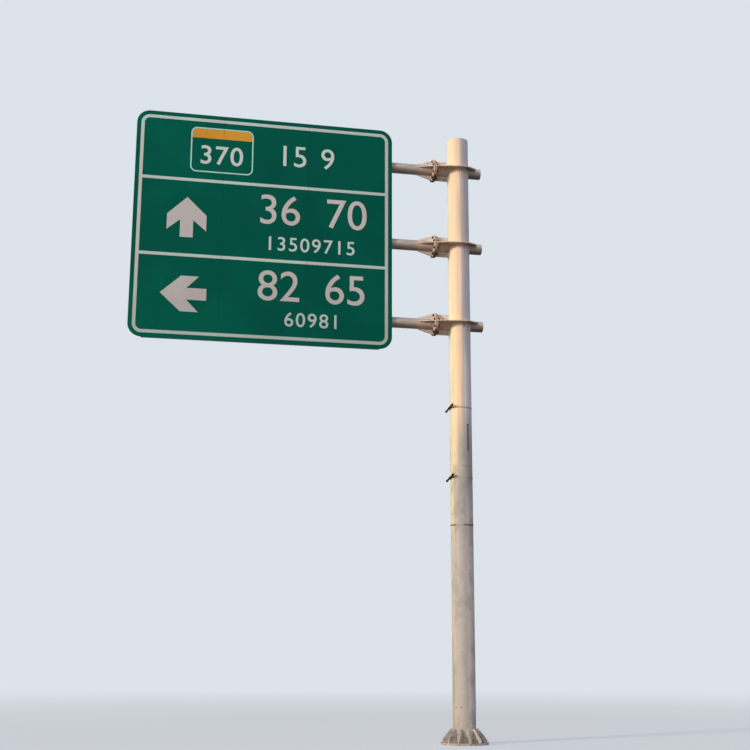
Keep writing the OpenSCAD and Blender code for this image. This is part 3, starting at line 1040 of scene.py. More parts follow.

# Painted light: between the arms and the bands the shaded side is painted paler
BETWEEN = (at_height(6100, 5600), at_height(3900, 5150))
POST_PAINT = Finish(
    name="cream_post_paint",
    slot="cream_paint",
    colour="#F7E4B6",
    roughness=0.5,
    specular=0.4,
    stains=(
        # Painted light and shade: the side towards the key lamp is painted warm yellow and
        # the front pinker, high up a paler band is painted where light gives way to shade,
        # and the side away from the lamp is painted grey and, further round, bluish as shade
        Stain("#FAD0A3", 0.9, (facing_x(-0.97, -0.5),)),
        Stain("#EED0BC", 0.8, (facing_x(-0.32, -0.12),)),
        Stain("#FFDAC6", 0.8, (at_height(6300, 7000), facing_x(-0.42, -0.22))),
        Stain("#BDB6B6", 0.85, (facing_x(-0.14, 0.1), at_height(2200, 4300))),
        Stain("#BFC6D6", 0.6, (facing_x(0.15, 0.6), at_height(3700, 4600))),
        Stain("#F2E6DE", 0.85, (*BETWEEN, facing_x(-0.05, 0.25))),
        Stain("#E2E2E8", 0.85, (*BETWEEN, facing_x(0.4, 0.8))),
        # Painted light: from just below the arms up, the shaded side is painted paler and
        # lilac
        Stain("#E0DCE8", 0.85, (at_height(5500, 6300), facing_x(0.2, 0.6))),
        # Painted light: a pale band is painted on the edge that faces the key lamp
        Stain("#F8F2D4", 0.8, (at_height(4300, 5200), facing_x(-0.84, -0.97))),
        # Chalking, in clouds as long as an arm
        Stain("#D9C4A4", 0.3, (Cloud(420, 0.4, 0.65, (1, 1, 3), seed=1),)),
        # Water runs down the tube, drawn 25 mm wide to show
        Stain("#B9AC97", 0.4, (Cloud(25, 0.5, 0.72, (1, 1, 40), seed=2),), 0.65),
        # Painted shade: the lower half is painted greyer, as in the shade of trees, and its
        # shaded side paler, as painted light thrown up from the ground. Near the foot the
        # edge towards the sign is darker and browner.
        Stain("#B0A699", 0.9, (at_height(5150, 4250), facing_x(-0.88, -0.38))),
        Stain("#A9A29B", 0.85, (at_height(4150, 3650), facing_x(-0.97, -0.72))),
        Stain("#BFB4A9", 0.6, (at_height(3500, 2800),)),
        Stain("#EADBCE", 0.9, (at_height(4100, 3000), facing_x(-0.05, 0.4))),
        Stain("#A8977C", 0.5, (at_height(1700, 1100), facing_x(-0.86, -0.97))),
        # Painted dappled light and shade of leaves, in clouds on the lower half
        Stain(
            "#96908C",
            0.4,
            (at_height(4900, 3800), Cloud(150, 0.45, 0.62, (1, 1, 1.7), seed=3)),
            roughness=0.7,
        ),
        Stain(
            "#CBC7C0",
            0.35,
            (at_height(4700, 3900), Cloud(75, 0.5, 0.7, (1, 1, 1.3), seed=4)),
        ),
        Stain(
            "#B5A582",
            0.3,
            (at_height(4300, 2900), Cloud(110, 0.55, 0.7, (1, 1, 1.5), seed=5)),
        ),
        # Dirt splashed up by the rain
        Stain(
            "#7A7060",
            0.6,
            (at_height(520, 20), Cloud(45, 0.4, 0.7, seed=6)),
            roughness=0.85,
        ),
        # Rust that runs from the ring plates' welds
        Stain(
            RUST,
            0.7,
            (
                at_height(5800, 5900),
                at_level(-260, 12),
                at_level(30, 24),
                Cloud(16, 0.57, 0.68, (1, 1, 30), seed=7),
            ),
            roughness=0.8,
        ),
        # Chips in the lower coat
        Stain(
            "#746A60",
            0.8,
            (at_height(4500, 3000), Cloud(16, 0.7, 0.73, seed=8)),
            roughness=0.7,
        ),
        # A dark streak below a dark spot, a ring of old tape, and two spots low on the post
        Stain(
            "#5C4747",
            0.85,
            (*band(Gauge.TURN, -24, 4, 2.5), *band(Gauge.Z, 4510, 190, 30)),
        ),
        Stain(
            "#3E2E2B",
            0.9,
            (*band(Gauge.TURN, -22.5, 5, 2), *band(Gauge.Z, 4712, 8, 6)),
        ),
        Stain("#8A817A", 0.6, (*band(Gauge.Z, 4067, 5, 4), Ramp(Gauge.TURN, 14, 6))),
        Stain(
            "#857A6B",
            0.85,
            (*band(Gauge.Z, 525, 3, 12), *band(Gauge.TURN, 58, 2, 6)),
        ),
        Stain(
            "#7A6F5E",
            0.9,
            (*band(Gauge.Z, 528, 4, 12), *band(Gauge.TURN, 31, 2, 6)),
        ),
    ),
    reliefs=ORANGE_PEEL,
)

OLD_DIRT = Stain("#A8988A", 0.4, (Cloud(90, 0.4, 0.65, seed=11),), roughness=0.65)
JOINT_DIRT_AND_SHADE = (
    OLD_DIRT,
    # Painted shade: undersides are painted dark brown
    Stain("#63483A", 0.65, (FROM_BELOW,), roughness=0.8),
    Stain(GRIME, 0.3, (Cloud(22, 0.52, 0.68, (1, 1, 3), seed=12),), roughness=0.8),
)

# The same paint on the arms, even, painted greyer as partly dirt and partly shade, and with
# undersides painted dark as shade
ARM_PAINT = Finish(
    name="cream_arm_paint",
    slot="cream_paint",
    colour="#C6B7AA",
    roughness=0.52,
    specular=0.4,
    stains=(
        *JOINT_DIRT_AND_SHADE,
        Stain("#988B7B", 0.4, (Cloud(30, 0.48, 0.7, (9, 1, 1), seed=13),), 0.7),
        # Painted light: the tops near the sign are painted blue-grey, as cool light from
        # above; painted shade: the undersides nearest the sign are painted darker, as the
        # sign's shade
        Stain("#8F92A8", 0.5, (at_x(-640, -800), Ramp(Gauge.FACING_Z, 0.2, 0.7))),
        Stain("#4C4644", 0.3, (FROM_BELOW, at_x(-780, -950))),
        # Painted light: the paint between the gussets and up to the post is painted warmer,
        # as warm light thrown back from the post; painted shade: a dark line under the
        # stub's end
        Stain("#D2A98C", 0.45, (at_x(-760, -600), at_x(-150, -200))),
        Stain("#2F2B38", 0.6, (at_x(150, 200), at_level(-40, -74))),
        # Rust bleeding from the welds at the flange
        Stain(
            RUST,
            0.6,
            (*band(Gauge.X, -464, 70, 90), Cloud(26, 0.53, 0.66, seed=14)),
            roughness=0.85,
        ),
    ),
    reliefs=ORANGE_PEEL,
)

# The same paint on flanges and gussets, rusting at every bolt and rim
JOINT_PAINT = Finish(
    name="cream_joint_paint",
    slot="cream_paint",
    colour="#F3DFCC",
    roughness=0.55,
    specular=0.35,
    stains=(
        *JOINT_DIRT_AND_SHADE,
        # Towards the bottom of each joint the paint is darker and browner
        Stain("#7D6353", 0.55, (at_level(-55, -125),), roughness=0.75),
        # Rust round the bolts, above and below the axis
        Stain(
            RUST,
            0.45,
            (
                *band(Gauge.X, -418, 12, 10),
                *band(Gauge.LEVEL, 62, 32, 26),
                Cloud(40, 0.45, 0.62, seed=15),
            ),
            roughness=0.9,
        ),
        Stain(
            RUST,
            0.4,
            (
                *band(Gauge.X, -408, 45, 80),
                at_level(-50, -90),
                Cloud(30, 0.52, 0.66, (1, 1, 2), seed=25),
            ),
            roughness=0.9,
        ),
        # The rims are darker and browner than the faces, except at the top
        Stain("#A88C7A", 0.6, (Ramp(Gauge.FROM_ARM, 174, 178), at_level(160, 120))),
        Stain(
            RUST,
            0.35,
            (Ramp(Gauge.FROM_ARM, 172, 179), Cloud(18, 0.5, 0.6, seed=16)),
        ),
        # Painted shade: the flanges' lower edges are painted near black
        Stain("#33241C", 0.85, (at_level(-85, -138), *band(Gauge.X, -408, 26, 10))),
        Stain(
            DARK_RUST,
            0.6,
            (*band(Gauge.X, -408, 3, 6), Cloud(12, 0.4, 0.6, seed=17)),
        ),
    ),
    reliefs=ORANGE_PEEL,
)

# The same paint on the ring plates, rusting in from their edges
PLATE_PAINT = Finish(
    name="cream_plate_paint",
    slot="cream_paint",
    colour="#F2DEC6",
    roughness=0.55,
    specular=0.35,
    stains=(
        OLD_DIRT,
        # Painted light and shade: the undersides are painted orange, as warm light thrown
        # back from the post, and grey-brown past the post towards the tail, as shade
        Stain("#AC8058", 0.75, (FROM_BELOW,), roughness=0.8),
        Stain("#5E554E", 0.85, (FROM_BELOW, at_x(10, 110))),
        # Rust creeps in from the plates' cut edges
        Stain(
            RUST,
            0.6,
            (Ramp(Gauge.FROM_POST, 254, 268), Cloud(24, 0.5, 0.62, seed=18)),
        ),
        Stain(
            RUST,
            0.6,
            (*band(Gauge.X, -390, 20, 60), Cloud(28, 0.48, 0.64, seed=19)),
            roughness=0.9,
        ),
        Stain(
            RUST,
            0.4,
            (Ramp(Gauge.FROM_POST, 184, 173), Cloud(20, 0.5, 0.65, seed=20)),
        ),
    ),
    reliefs=ORANGE_PEEL,
)

# Weld beads under the same paint, which is thin on their ripples
WELD_PAINT = Finish(
    name="cream_weld_paint",
    slot="cream_paint",
    colour="#EFD8C0",
    roughness=0.55,
    specular=0.35,
    stains=(
        # Painted shade: the beads' undersides are painted brown
        Stain("#A08066", 0.6, (FROM_BELOW,), roughness=0.8),
        Stain(RUST, 0.45, (Cloud(22, 0.52, 0.64, seed=26),), roughness=0.85),
    ),
    edge_mm=0.0,
)

# Rolled and extruded aluminium alloy, left bare: satin, with fine lines along
# the way it was drawn, and a dull oxide bloom
OXIDE = (
    Stain(
        "#9DA1A3",
        0.35,
        (Cloud(420, 0.35, 0.7, (1, 1, 1.6), seed=21),),
        roughness=0.6,
    ),
    Stain("#CDD0D0", 0.2, (Cloud(60, 0.5, 0.75, (1, 1, 6), seed=22),), roughness=0.55),
    Stain("#6E6A62", 0.16, (Cloud(14, 0.58, 0.78, (1, 1, 14), seed=23),), 0.75, 0.5),
)
# Painted shade: undersides of bare metal are painted dark grey and dull, as shade
UNDERSIDE_SHADE = Stain("#3F4341", 0.85, (Ramp(Gauge.FACING_Z, -0.4, -0.9),), 0.8, 0.1)

# X of the two gaps between the sheets, where dirt has settled on the sheets'
# edges and on the channels and rails behind
SEAMS_X = (-3776.7, -2443.3)
BEHIND_FILM = Ramp(Gauge.Y, -117.3, -116.9)
AT_SHEETS = Ramp(Gauge.Y, -109.0, -109.5)
SEAM_DIRT = tuple(
    Stain("#0B211C", 1.0, (BEHIND_FILM, AT_SHEETS, *band(Gauge.X, x, 4, 1)), 0.85, 0.0)
    for x in SEAMS_X
)

CHANNEL_ALLOY = Finish(
    name="extruded_aluminium_upright",
    slot="mill_aluminium",
    colour="#B7BABB",
    roughness=0.42,
    metallic=1.0,
    # Its undersides carry painted shade
    stains=(*OXIDE, UNDERSIDE_SHADE, *SEAM_DIRT),
    reliefs=(Relief(Cloud(2.5, 0.3, 0.7, (1, 1, 90)), 0.05),),
)
RAIL_ALLOY = replace(
    CHANNEL_ALLOY,
    name="extruded_aluminium_level",
    reliefs=(Relief(Cloud(2.5, 0.3, 0.7, (90, 1, 1)), 0.05),),
)

# Drawn aluminium rivets, duller than the sheets and without their lines
RIVET_ALLOY = Finish(
    name="aluminium_rivet",
    slot="mill_aluminium",
    colour="#A9ACAD",
    roughness=0.5,
    metallic=1.0,
    stains=(Stain("#7B7D7C", 0.5, (Cloud(6, 0.4, 0.65, seed=24),)),),
    edge_mm=0.0,
)

# The film lies on the sign's front only, past this Y
FRONT = Ramp(Gauge.Y, -117.0, -117.4)


@dataclass(frozen=True)
class Film:
    """Retroreflective sheeting on the sign's front.

    It is beaded plastic under a clear skin: an even, deep colour with faint
    seal lines, clouded by dust and by what rain leaves.

    Attributes:
        colour: Colour of the sheeting.
        bright: Its colour towards the sign's outer side, which fades less.
        pale: Colour of its seal lines and of dust.
        dark: Colour of its damp and shaded clouds.
    """

    colour: str
    bright: str
    pale: str
    dark: str

    def layers(self) -> tuple[Stain, ...]:
        """Makes what lies over the sheeting's own colour.

        Returns:
            The layers, the lowest first.
        """
        clouds = Cloud(700, 0.4, 0.62, (1, 1, 1.4), seed=31)
        # Real seal lines are 3 mm apart; drawn at 30 mm, the least that shows
        seal_lines = Lattice(30, 2.4)
        runs = Cloud(28, 0.5, 0.75, (1, 1, 26), seed=32)
        splashes = Cloud(60, 0.4, 0.7, seed=33)
        return (
            Stain(self.bright, 0.7, (FRONT, at_x(-2400, -4700))),
            Stain(self.dark, 0.35, (FRONT, clouds)),
            Stain(self.pale, 0.1, (FRONT, seal_lines)),
            Stain(self.pale, 0.1, (FRONT, runs), roughness=0.6),
            Stain(self.pale, 0.12, (FRONT, at_height(6250, 5830), splashes)),
        )

    def finish(
        self,
        name: str,
        slot: str,
        *dirt: Stain,
        roughness: float = 0.4,
        specular: float = 0.2,
    ) -> Finish:
        """Makes the finish of a cut piece of it.

        Args:
            name: What the real one is.
            slot: Name of its material slot.
            dirt: More layers on top, the lowest first.
            roughness: Its roughness.
            specular: Strength of its gloss.

        Returns:
            The finish.
        """
        return Finish(
            name=name,
            slot=slot,
            colour=self.colour,
            roughness=roughness,
            specular=specular,
            stains=(*self.layers(), *dirt),
            edge_mm=0.0,
        )


GREEN = Film("#015948", bright="#00644F", pale="#0A6353", dark="#014A3D")
WHITE = Film("#CCC4BE", bright="#CCC4BE", pale="#D8D1CB", dark="#B8AFA8")
# An older roll, with a trace of green in its white
OLD_WHITE = Film("#C9D5CA", bright="#C9D5CA", pale="#D2DCD1", dark="#B6C1B5")
ORANGE = Film("#DC9A14", bright="#DC9A14", pale="#E4AC48", dark="#BF7F12")

# Rolled aluminium sheet, bare behind and under green sheeting in front, a
# little wavy between its rivets
SHEET = Finish(
    name="aluminium_sheet_with_green_film",
    slot="green_film",
    colour="#B4B7B8",
    roughness=0.45,
    metallic=1.0,
    specular=0.03,
    stains=(
        *OXIDE,
        # Painted shade on its undersides
        UNDERSIDE_SHADE,
        Stain(GREEN.colour, 1.0, (FRONT,), roughness=0.42, metallic=0.0),
        *GREEN.layers(),
        *SEAM_DIRT,
    ),
    reliefs=(
        Relief(Cloud(520, 0.3, 0.7), 1.2),
        Relief(Cloud(3, 0.3, 0.7, (1, 1, 50)), 0.03),
    ),
    edge_mm=0.6,
)
GREEN_FILM = GREEN.finish(
    "green_reflective_film", "green_film", roughness=0.42, specular=0.03
)
ORANGE_FILM = ORANGE.finish("orange_reflective_film", "orange_film", specular=0.3)

# Dust shows on white only, and is thickest low down
WHITE_DUST = Stain("#8C877C", 0.3, (FRONT, at_height(7300, 5850)), roughness=0.6)
TOP_ROW = at_height(8250, 8390)
WHITE_FILM = WHITE.finish(
    "white_reflective_film",
    "white_film",
    # The top row and the small numbers are of the lines' older roll
    Stain("#CED7CD", 0.95, (FRONT, TOP_ROW)),
    Stain("#C0DAD1", 0.7, (FRONT, *band(Gauge.Z, 7422, 130, 20))),
    Stain("#C0DAD1", 0.7, (FRONT, *band(Gauge.Z, 6227, 130, 20))),
    WHITE_DUST,
)
# The badge's thin line takes on some green from the film on both its sides
SYMBOL_FILM = WHITE.finish(
    "white_reflective_symbol_film",
    "white_film",
    Stain("#B0E0D2", 0.85, (FRONT, TOP_ROW)),
    WHITE_DUST,
)
# The lines are dustier towards the post, and both uprights have yellowed
LINE_FILM = OLD_WHITE.finish(
    "white_reflective_line_film",
    "white_film",
    Stain("#D8C4B8", 0.4, (FRONT, at_x(-4960, -5000))),
    Stain("#C9B9AE", 0.25, (FRONT, at_x(-1240, -1215))),
    Stain("#8C877C", 0.18, (FRONT, at_x(-3800, -1250))),
    WHITE_DUST,
)

# Hot-dip galvanised steel: dull zinc crystals, with white bloom and first rust
ZINC = Finish(
    name="hot_dip_zinc_on_steel",
    slot="galvanised_steel",
    colour="#8E9294",
    roughness=0.45,
    metallic=0.9,
    stains=(
        Stain("#73787A", 0.6, (Grains(9),), roughness=0.55),
        Stain("#B4B7B5", 0.35, (Cloud(30, 0.52, 0.68, seed=41),), 0.75, 0.4),
        Stain(RUST, 0.6, (Cloud(12, 0.62, 0.7, seed=42),), 0.85, 0.0),
        # Painted shade on its undersides
        UNDERSIDE_SHADE,
    ),
    reliefs=(Relief(Cloud(5, 0.3, 0.7), 0.08),),
)

# Bolts left without paint: matt brown rust in small scales
RUSTY_BOLTS = Finish(
    name="brown_rust_on_bolts",
    slot="rusty_bolt_steel",
    colour="#4A2F20",
    roughness=0.85,
    metallic=0.15,
    specular=0.3,
    stains=(
        Stain("#6B4229", 0.6, (Cloud(9, 0.48, 0.64, seed=51),)),
        Stain("#261710", 0.7, (Cloud(14, 0.48, 0.62, seed=52),)),
    ),
    reliefs=(Relief(Cloud(2.2, 0.3, 0.7), 0.25),),
    edge_mm=0.0,
)

# Thin steel bands, painted over with the post once, and rods that have
# rusted through to a dark brown
ON_POST = Ramp(Gauge.FROM_POST, 180, 175)
HIGH_BAND = at_height(4300, 4500)
MIDDLE_BAND = band(Gauge.Z, 3898, 50, 100)
FOOT_BAND = at_height(3400, 3300)
RUSTY_BANDS = Finish(
    name="brown_rust_on_bands",
    slot="rusty_band_steel",
    colour="#38231A",
    roughness=0.85,
    metallic=0.1,
    specular=0.15,
    stains=(
        Stain("#573622", 0.5, (Cloud(12, 0.48, 0.64, seed=61),)),
        Stain("#1E130E", 0.6, (Cloud(22, 0.5, 0.62, seed=62),)),
        # Painted light and shade: the high and middle bands are painted tan where the key
        # lamp falls and grey away from it, as the post is
        Stain("#BE9E80", 0.95, (ON_POST, HIGH_BAND)),
        Stain("#BFB2AC", 0.9, (ON_POST, HIGH_BAND, facing_x(-0.25, 0.1))),
        Stain("#AF9A86", 0.95, (ON_POST, *MIDDLE_BAND)),
        Stain("#AFA59C", 0.9, (ON_POST, *MIDDLE_BAND, facing_x(-0.75, -0.5))),
        # On the lowest band the paint has held only in front
        Stain("#80695A", 0.95, (ON_POST, FOOT_BAND)),
        Stain("#B5A99D", 0.9, (ON_POST, FOOT_BAND, *band(Gauge.TURN, 25, 14, 10))),
    ),
    reliefs=(Relief(Cloud(3, 0.3, 0.7), 0.25),),
    edge_mm=0.0,
)

# Nodes that stay, by finish; an arm level's own ending is left off
FINISHED = (
    (POST_PAINT, ("post", "post_cap", "base_flange", "base_gussets")),
    (ARM_PAINT, ("stub", "arm", "tail_caps", "arm_end_caps")),
    (JOINT_PAINT, ("stub_flange", "stub_gussets", "arm_flange", "arm_gussets")),
    (PLATE_PAINT, ("ring_plates",)),
    (SHEET, ("sheet_left", "sheet_centre", "sheet_right")),
    (RAIL_ALLOY, ("edge_rail",)),
    (CHANNEL_ALLOY, ("rear_channels",)),
    (ZINC, ("clamp_saddles", "clamp_straps")),
    (LINE_FILM, ("legend_lines",)),
    (SYMBOL_FILM, ("legend_symbols",)),
    (ORANGE_FILM, ("badge_band",)),
    (RUSTY_BANDS, ("post_bands",)),
)
NODE_FINISHES = {node: finish for finish, nodes in FINISHED for node in nodes}


def dress_nodes(nodes: dict[str, bpy.types.Object], layout: Layout) -> None:
    """Gives every CAD node that stays its finish.

    Args:
        nodes: CAD nodes by name.
        layout: Shared sizes.
    """
    for name, node in nodes.items():
        kind = name
        for level in Level:
            kind = kind.removesuffix("_" + level.value)
        finish = NODE_FINISHES.get(kind)
        if finish:
            for slot in node.material_slots:
                slot.material = finish.material(layout)
            LOG.info("%s: %s", name, finish.name)


@dataclass(frozen=True)
class SubAssembly:
    """Pieces that are built from the shared sizes.

    Attributes:
        layout: Shared sizes.
    """

    layout: Layout

    def make(
        self, name: str, shape: Shape, finish: Finish, replaced: Sequence[str] = ()
    ) -> None:
        """Makes a piece and dresses it.

        Args:
            name: Name of the piece.
            shape: Its shape.
            finish: Its finish.
            replaced: CAD nodes that the piece stands for.
        """
        shape.piece(name, finish.slot, finish.material(self.layout), replaced)


@dataclass(frozen=True)
class HexBolt:
    """Hexagonal bolt with washers and a nut, its axis along +Z.

    Attributes:
        size: Diameter of its thread.
        grip: Thickness of what it clamps, from z = 0 up.
        pitch: Distance between the ridges of its thread.
        washer_r: Radius of a washer, as a share of the size.
        washer_t: Thickness of a washer, as a share of the size.
        tip: How far the thread stands out of the nut, as a share of the size.
    """

    size: float = 24 * MM
    grip: float = 40 * MM
    pitch: float = 3 * MM
    washer_r: float = 0.9
    washer_t: float = 0.16
    tip: float = 0.4

    def shape(self) -> Shape:
        """Makes the head, the washers, the nut and the thread past it.

        Returns:
            The bolt.
        """
        size = self.size
        radius, thick = self.washer_r * size, self.washer_t * size
        washer = (radius, self.grip, self.grip + thick)
        head = hexagon(ACROSS_FLATS * size, 0, HEAD_H * size)
        return Shape.join(
            [
                # The head's turned face looks away from the washer
                head.reshaped(head.points * [1, 1, -1] - [0, 0, thick]),
                disc(radius, -thick, 0, WASHER_EDGE),
                *nut_end(size, washer, self.tip * size, self.pitch, DISC_POINTS),
            ]
        )


@dataclass(frozen=True)
class FlangeBolts(SubAssembly):
    """Bolts of the three flange joints.

    Attributes:
        count: Bolts in one joint.
        circle_r: Radius of the bolt circle.
        bolt: One bolt.
    """

    count: int = 8
    circle_r: float = 145 * MM
    bolt: HexBolt = HexBolt()

    def build(self) -> None:
        """Sets the bolts half a step off the gussets, at every level."""
        turn = (np.arange(self.count) + 0.5) * 2 * np.pi / self.count
        circle = np.stack([0 * turn, np.sin(turn), np.cos(turn)], axis=-1)
        one = self.bolt.shape()
        for level, height in self.layout.heights.items():
            origins = self.circle_r * circle + [self.layout.arm_face, 0, height]
            places = frames(origins, (0, 1, 0), (0, 0, 1), (1, 0, 0))
            self.make(
                f"flange_fasteners_{level.value}",
                one.copies(places),
                RUSTY_BOLTS,
                [f"flange_bolts_{level.value}"],
            )


@dataclass(frozen=True)
class BandRods(SubAssembly):
    """Rods with spacer tubes and nuts that tighten the two upper bands.

    Attributes:
        heights: Height of each band's middle.
        turn_deg: Direction of a rod's barrel, seen from above.
        slope_deg: How far a rod rises towards the front.
        axis_gap: Distance of a rod's axis from the post's surface.
        size: Diameter of its thread.
        spacer: Diameter of the tubes between the barrel and the nuts.
        spacer_start: Distance of a tube's near end from the barrel's middle.
        spacer_end: Distance of its far end.
        washer_t: Thickness of a washer.
        reach: Distance of the rear and the front tip from the barrel's middle.
        pitch: Distance between the ridges of its thread.
    """

    heights: tuple[float, ...] = (4980 * MM, 3898 * MM)
    turn_deg: float = 188.0
    slope_deg: float = 16.0
    axis_gap: float = 20.3 * MM
    size: float = 20 * MM
    spacer: float = 29 * MM
    spacer_start: float = 18 * MM
    spacer_end: float = 112 * MM
    washer_t: float = 3 * MM
    reach: tuple[float, float] = (142 * MM, 166 * MM)
    pitch: float = 2.5 * MM

    def rod(self) -> Shape:
        """Makes one rod along +Z, with its barrel's middle at z = 0.

        Returns:
            The rod.
        """
        nut = self.spacer_end + self.washer_t
        nut_top = nut + NUT_H * self.size
        washer = (WIDE_WASHER_R * self.size, self.spacer_end, nut)
        tube = (self.spacer / 2, self.spacer_start, self.spacer_end)
        past = self.spacer_start + MM
        shapes = [disc(self.size / 2, -past, past, SHANK_EDGE, ROD_POINTS)]
        for side, reach in zip((-1, 1), self.reach):
            nut_parts = nut_end(self.size, washer, reach - nut_top, self.pitch)
            end = Shape.join([disc(*tube, MM, ROD_POINTS), *nut_parts])
            shapes.append(end.reshaped(end.points * [1, 1, side]))
        return Shape.join(shapes)

    def build(self) -> None:
        """Sets a rod beside the post at every height.

        Seen from above the barrel lies at the turn t, and with the slope s
        the rod runs along (-cos s sin t, cos s cos t, sin s).
        """
        turn, slope = math.radians(self.turn_deg), math.radians(self.slope_deg)
        out = np.array([math.cos(turn), math.sin(turn), 0])
        aside = np.array([-math.sin(turn), math.cos(turn), 0])
        up = np.array([0, 0, 1])
        along = math.cos(slope) * aside + math.sin(slope) * up
        down = math.sin(slope) * aside - math.cos(slope) * up
        axis = (self.layout.post_r + self.axis_gap) * out
        origins = axis + np.outer(self.heights, up)
        rods = self.rod().copies(frames(origins, out, down, along))
        self.make("band_tighteners", rods, RUSTY_BANDS, ["band_rods"])


@dataclass(frozen=True)
class ClampBolts(SubAssembly):
    """T-headed bolts that pull the hoop clamps against the rear channels.

    Attributes:
        size: Diameter of a bolt.
        reach: Distance of a bolt from the arm's surface.
        head: Width, height and thickness of a bolt's head.
        head_corner: Corner radius of the head.
        head_y: Y of the head's face on the channel's lips.
        seat_y: Y of the clamp ear under the washer.
        washer_t: Thickness of the washer.
        tip: How far the thread stands out of the nut.
        pitch: Distance between the ridges of its thread.
    """

    size: float = 16 * MM
    reach: float = 26 * MM
    head: tuple[float, float, float] = (36 * MM, 20 * MM, 8 * MM)
    head_corner: float = 2.5 * MM
    head_y: float = -93.6 * MM
    seat_y: float = -60 * MM
    washer_t: float = 3 * MM
    tip: float = 8 * MM
    pitch: float = 2 * MM

    def bolt(self) -> Shape:
        """Makes one bolt along +Z, its heights being the gantry's Y.

        Returns:
            The bolt.
        """
        width, tall, thick = self.head
        ends = (self.head_y - thick, self.head_y)
        shank = (self.size / 2, self.head_y - MM, self.seat_y)
        washer = (WIDE_WASHER_R * self.size, self.seat_y, self.seat_y + self.washer_t)
        return Shape.join(
            [
                rounded_bar(width, tall, *ends, self.head_corner),
                disc(*shank, SHANK_EDGE, SHANK_POINTS),
                *nut_end(self.size, washer, self.tip, self.pitch),
            ]
        )

    def build(self) -> None:
        """Sets a bolt above and below the arm at every channel and level."""
        offsets = np.array([-1, 1]) * (self.layout.arm_r + self.reach)
        heights = np.array(list(self.layout.heights.values()))
        rows = (heights[:, None] + offsets).ravel()
        x, z = np.meshgrid(self.layout.channels, rows)
        origins = np.stack([x.ravel(), np.zeros(x.size), z.ravel()], axis=-1)
        places = frames(origins, (1, 0, 0), (0, 0, -1), (0, 1, 0))
        bolts = self.bolt().copies(places)
        self.make("clamp_fasteners", bolts, ZINC, ["clamp_bolts"])


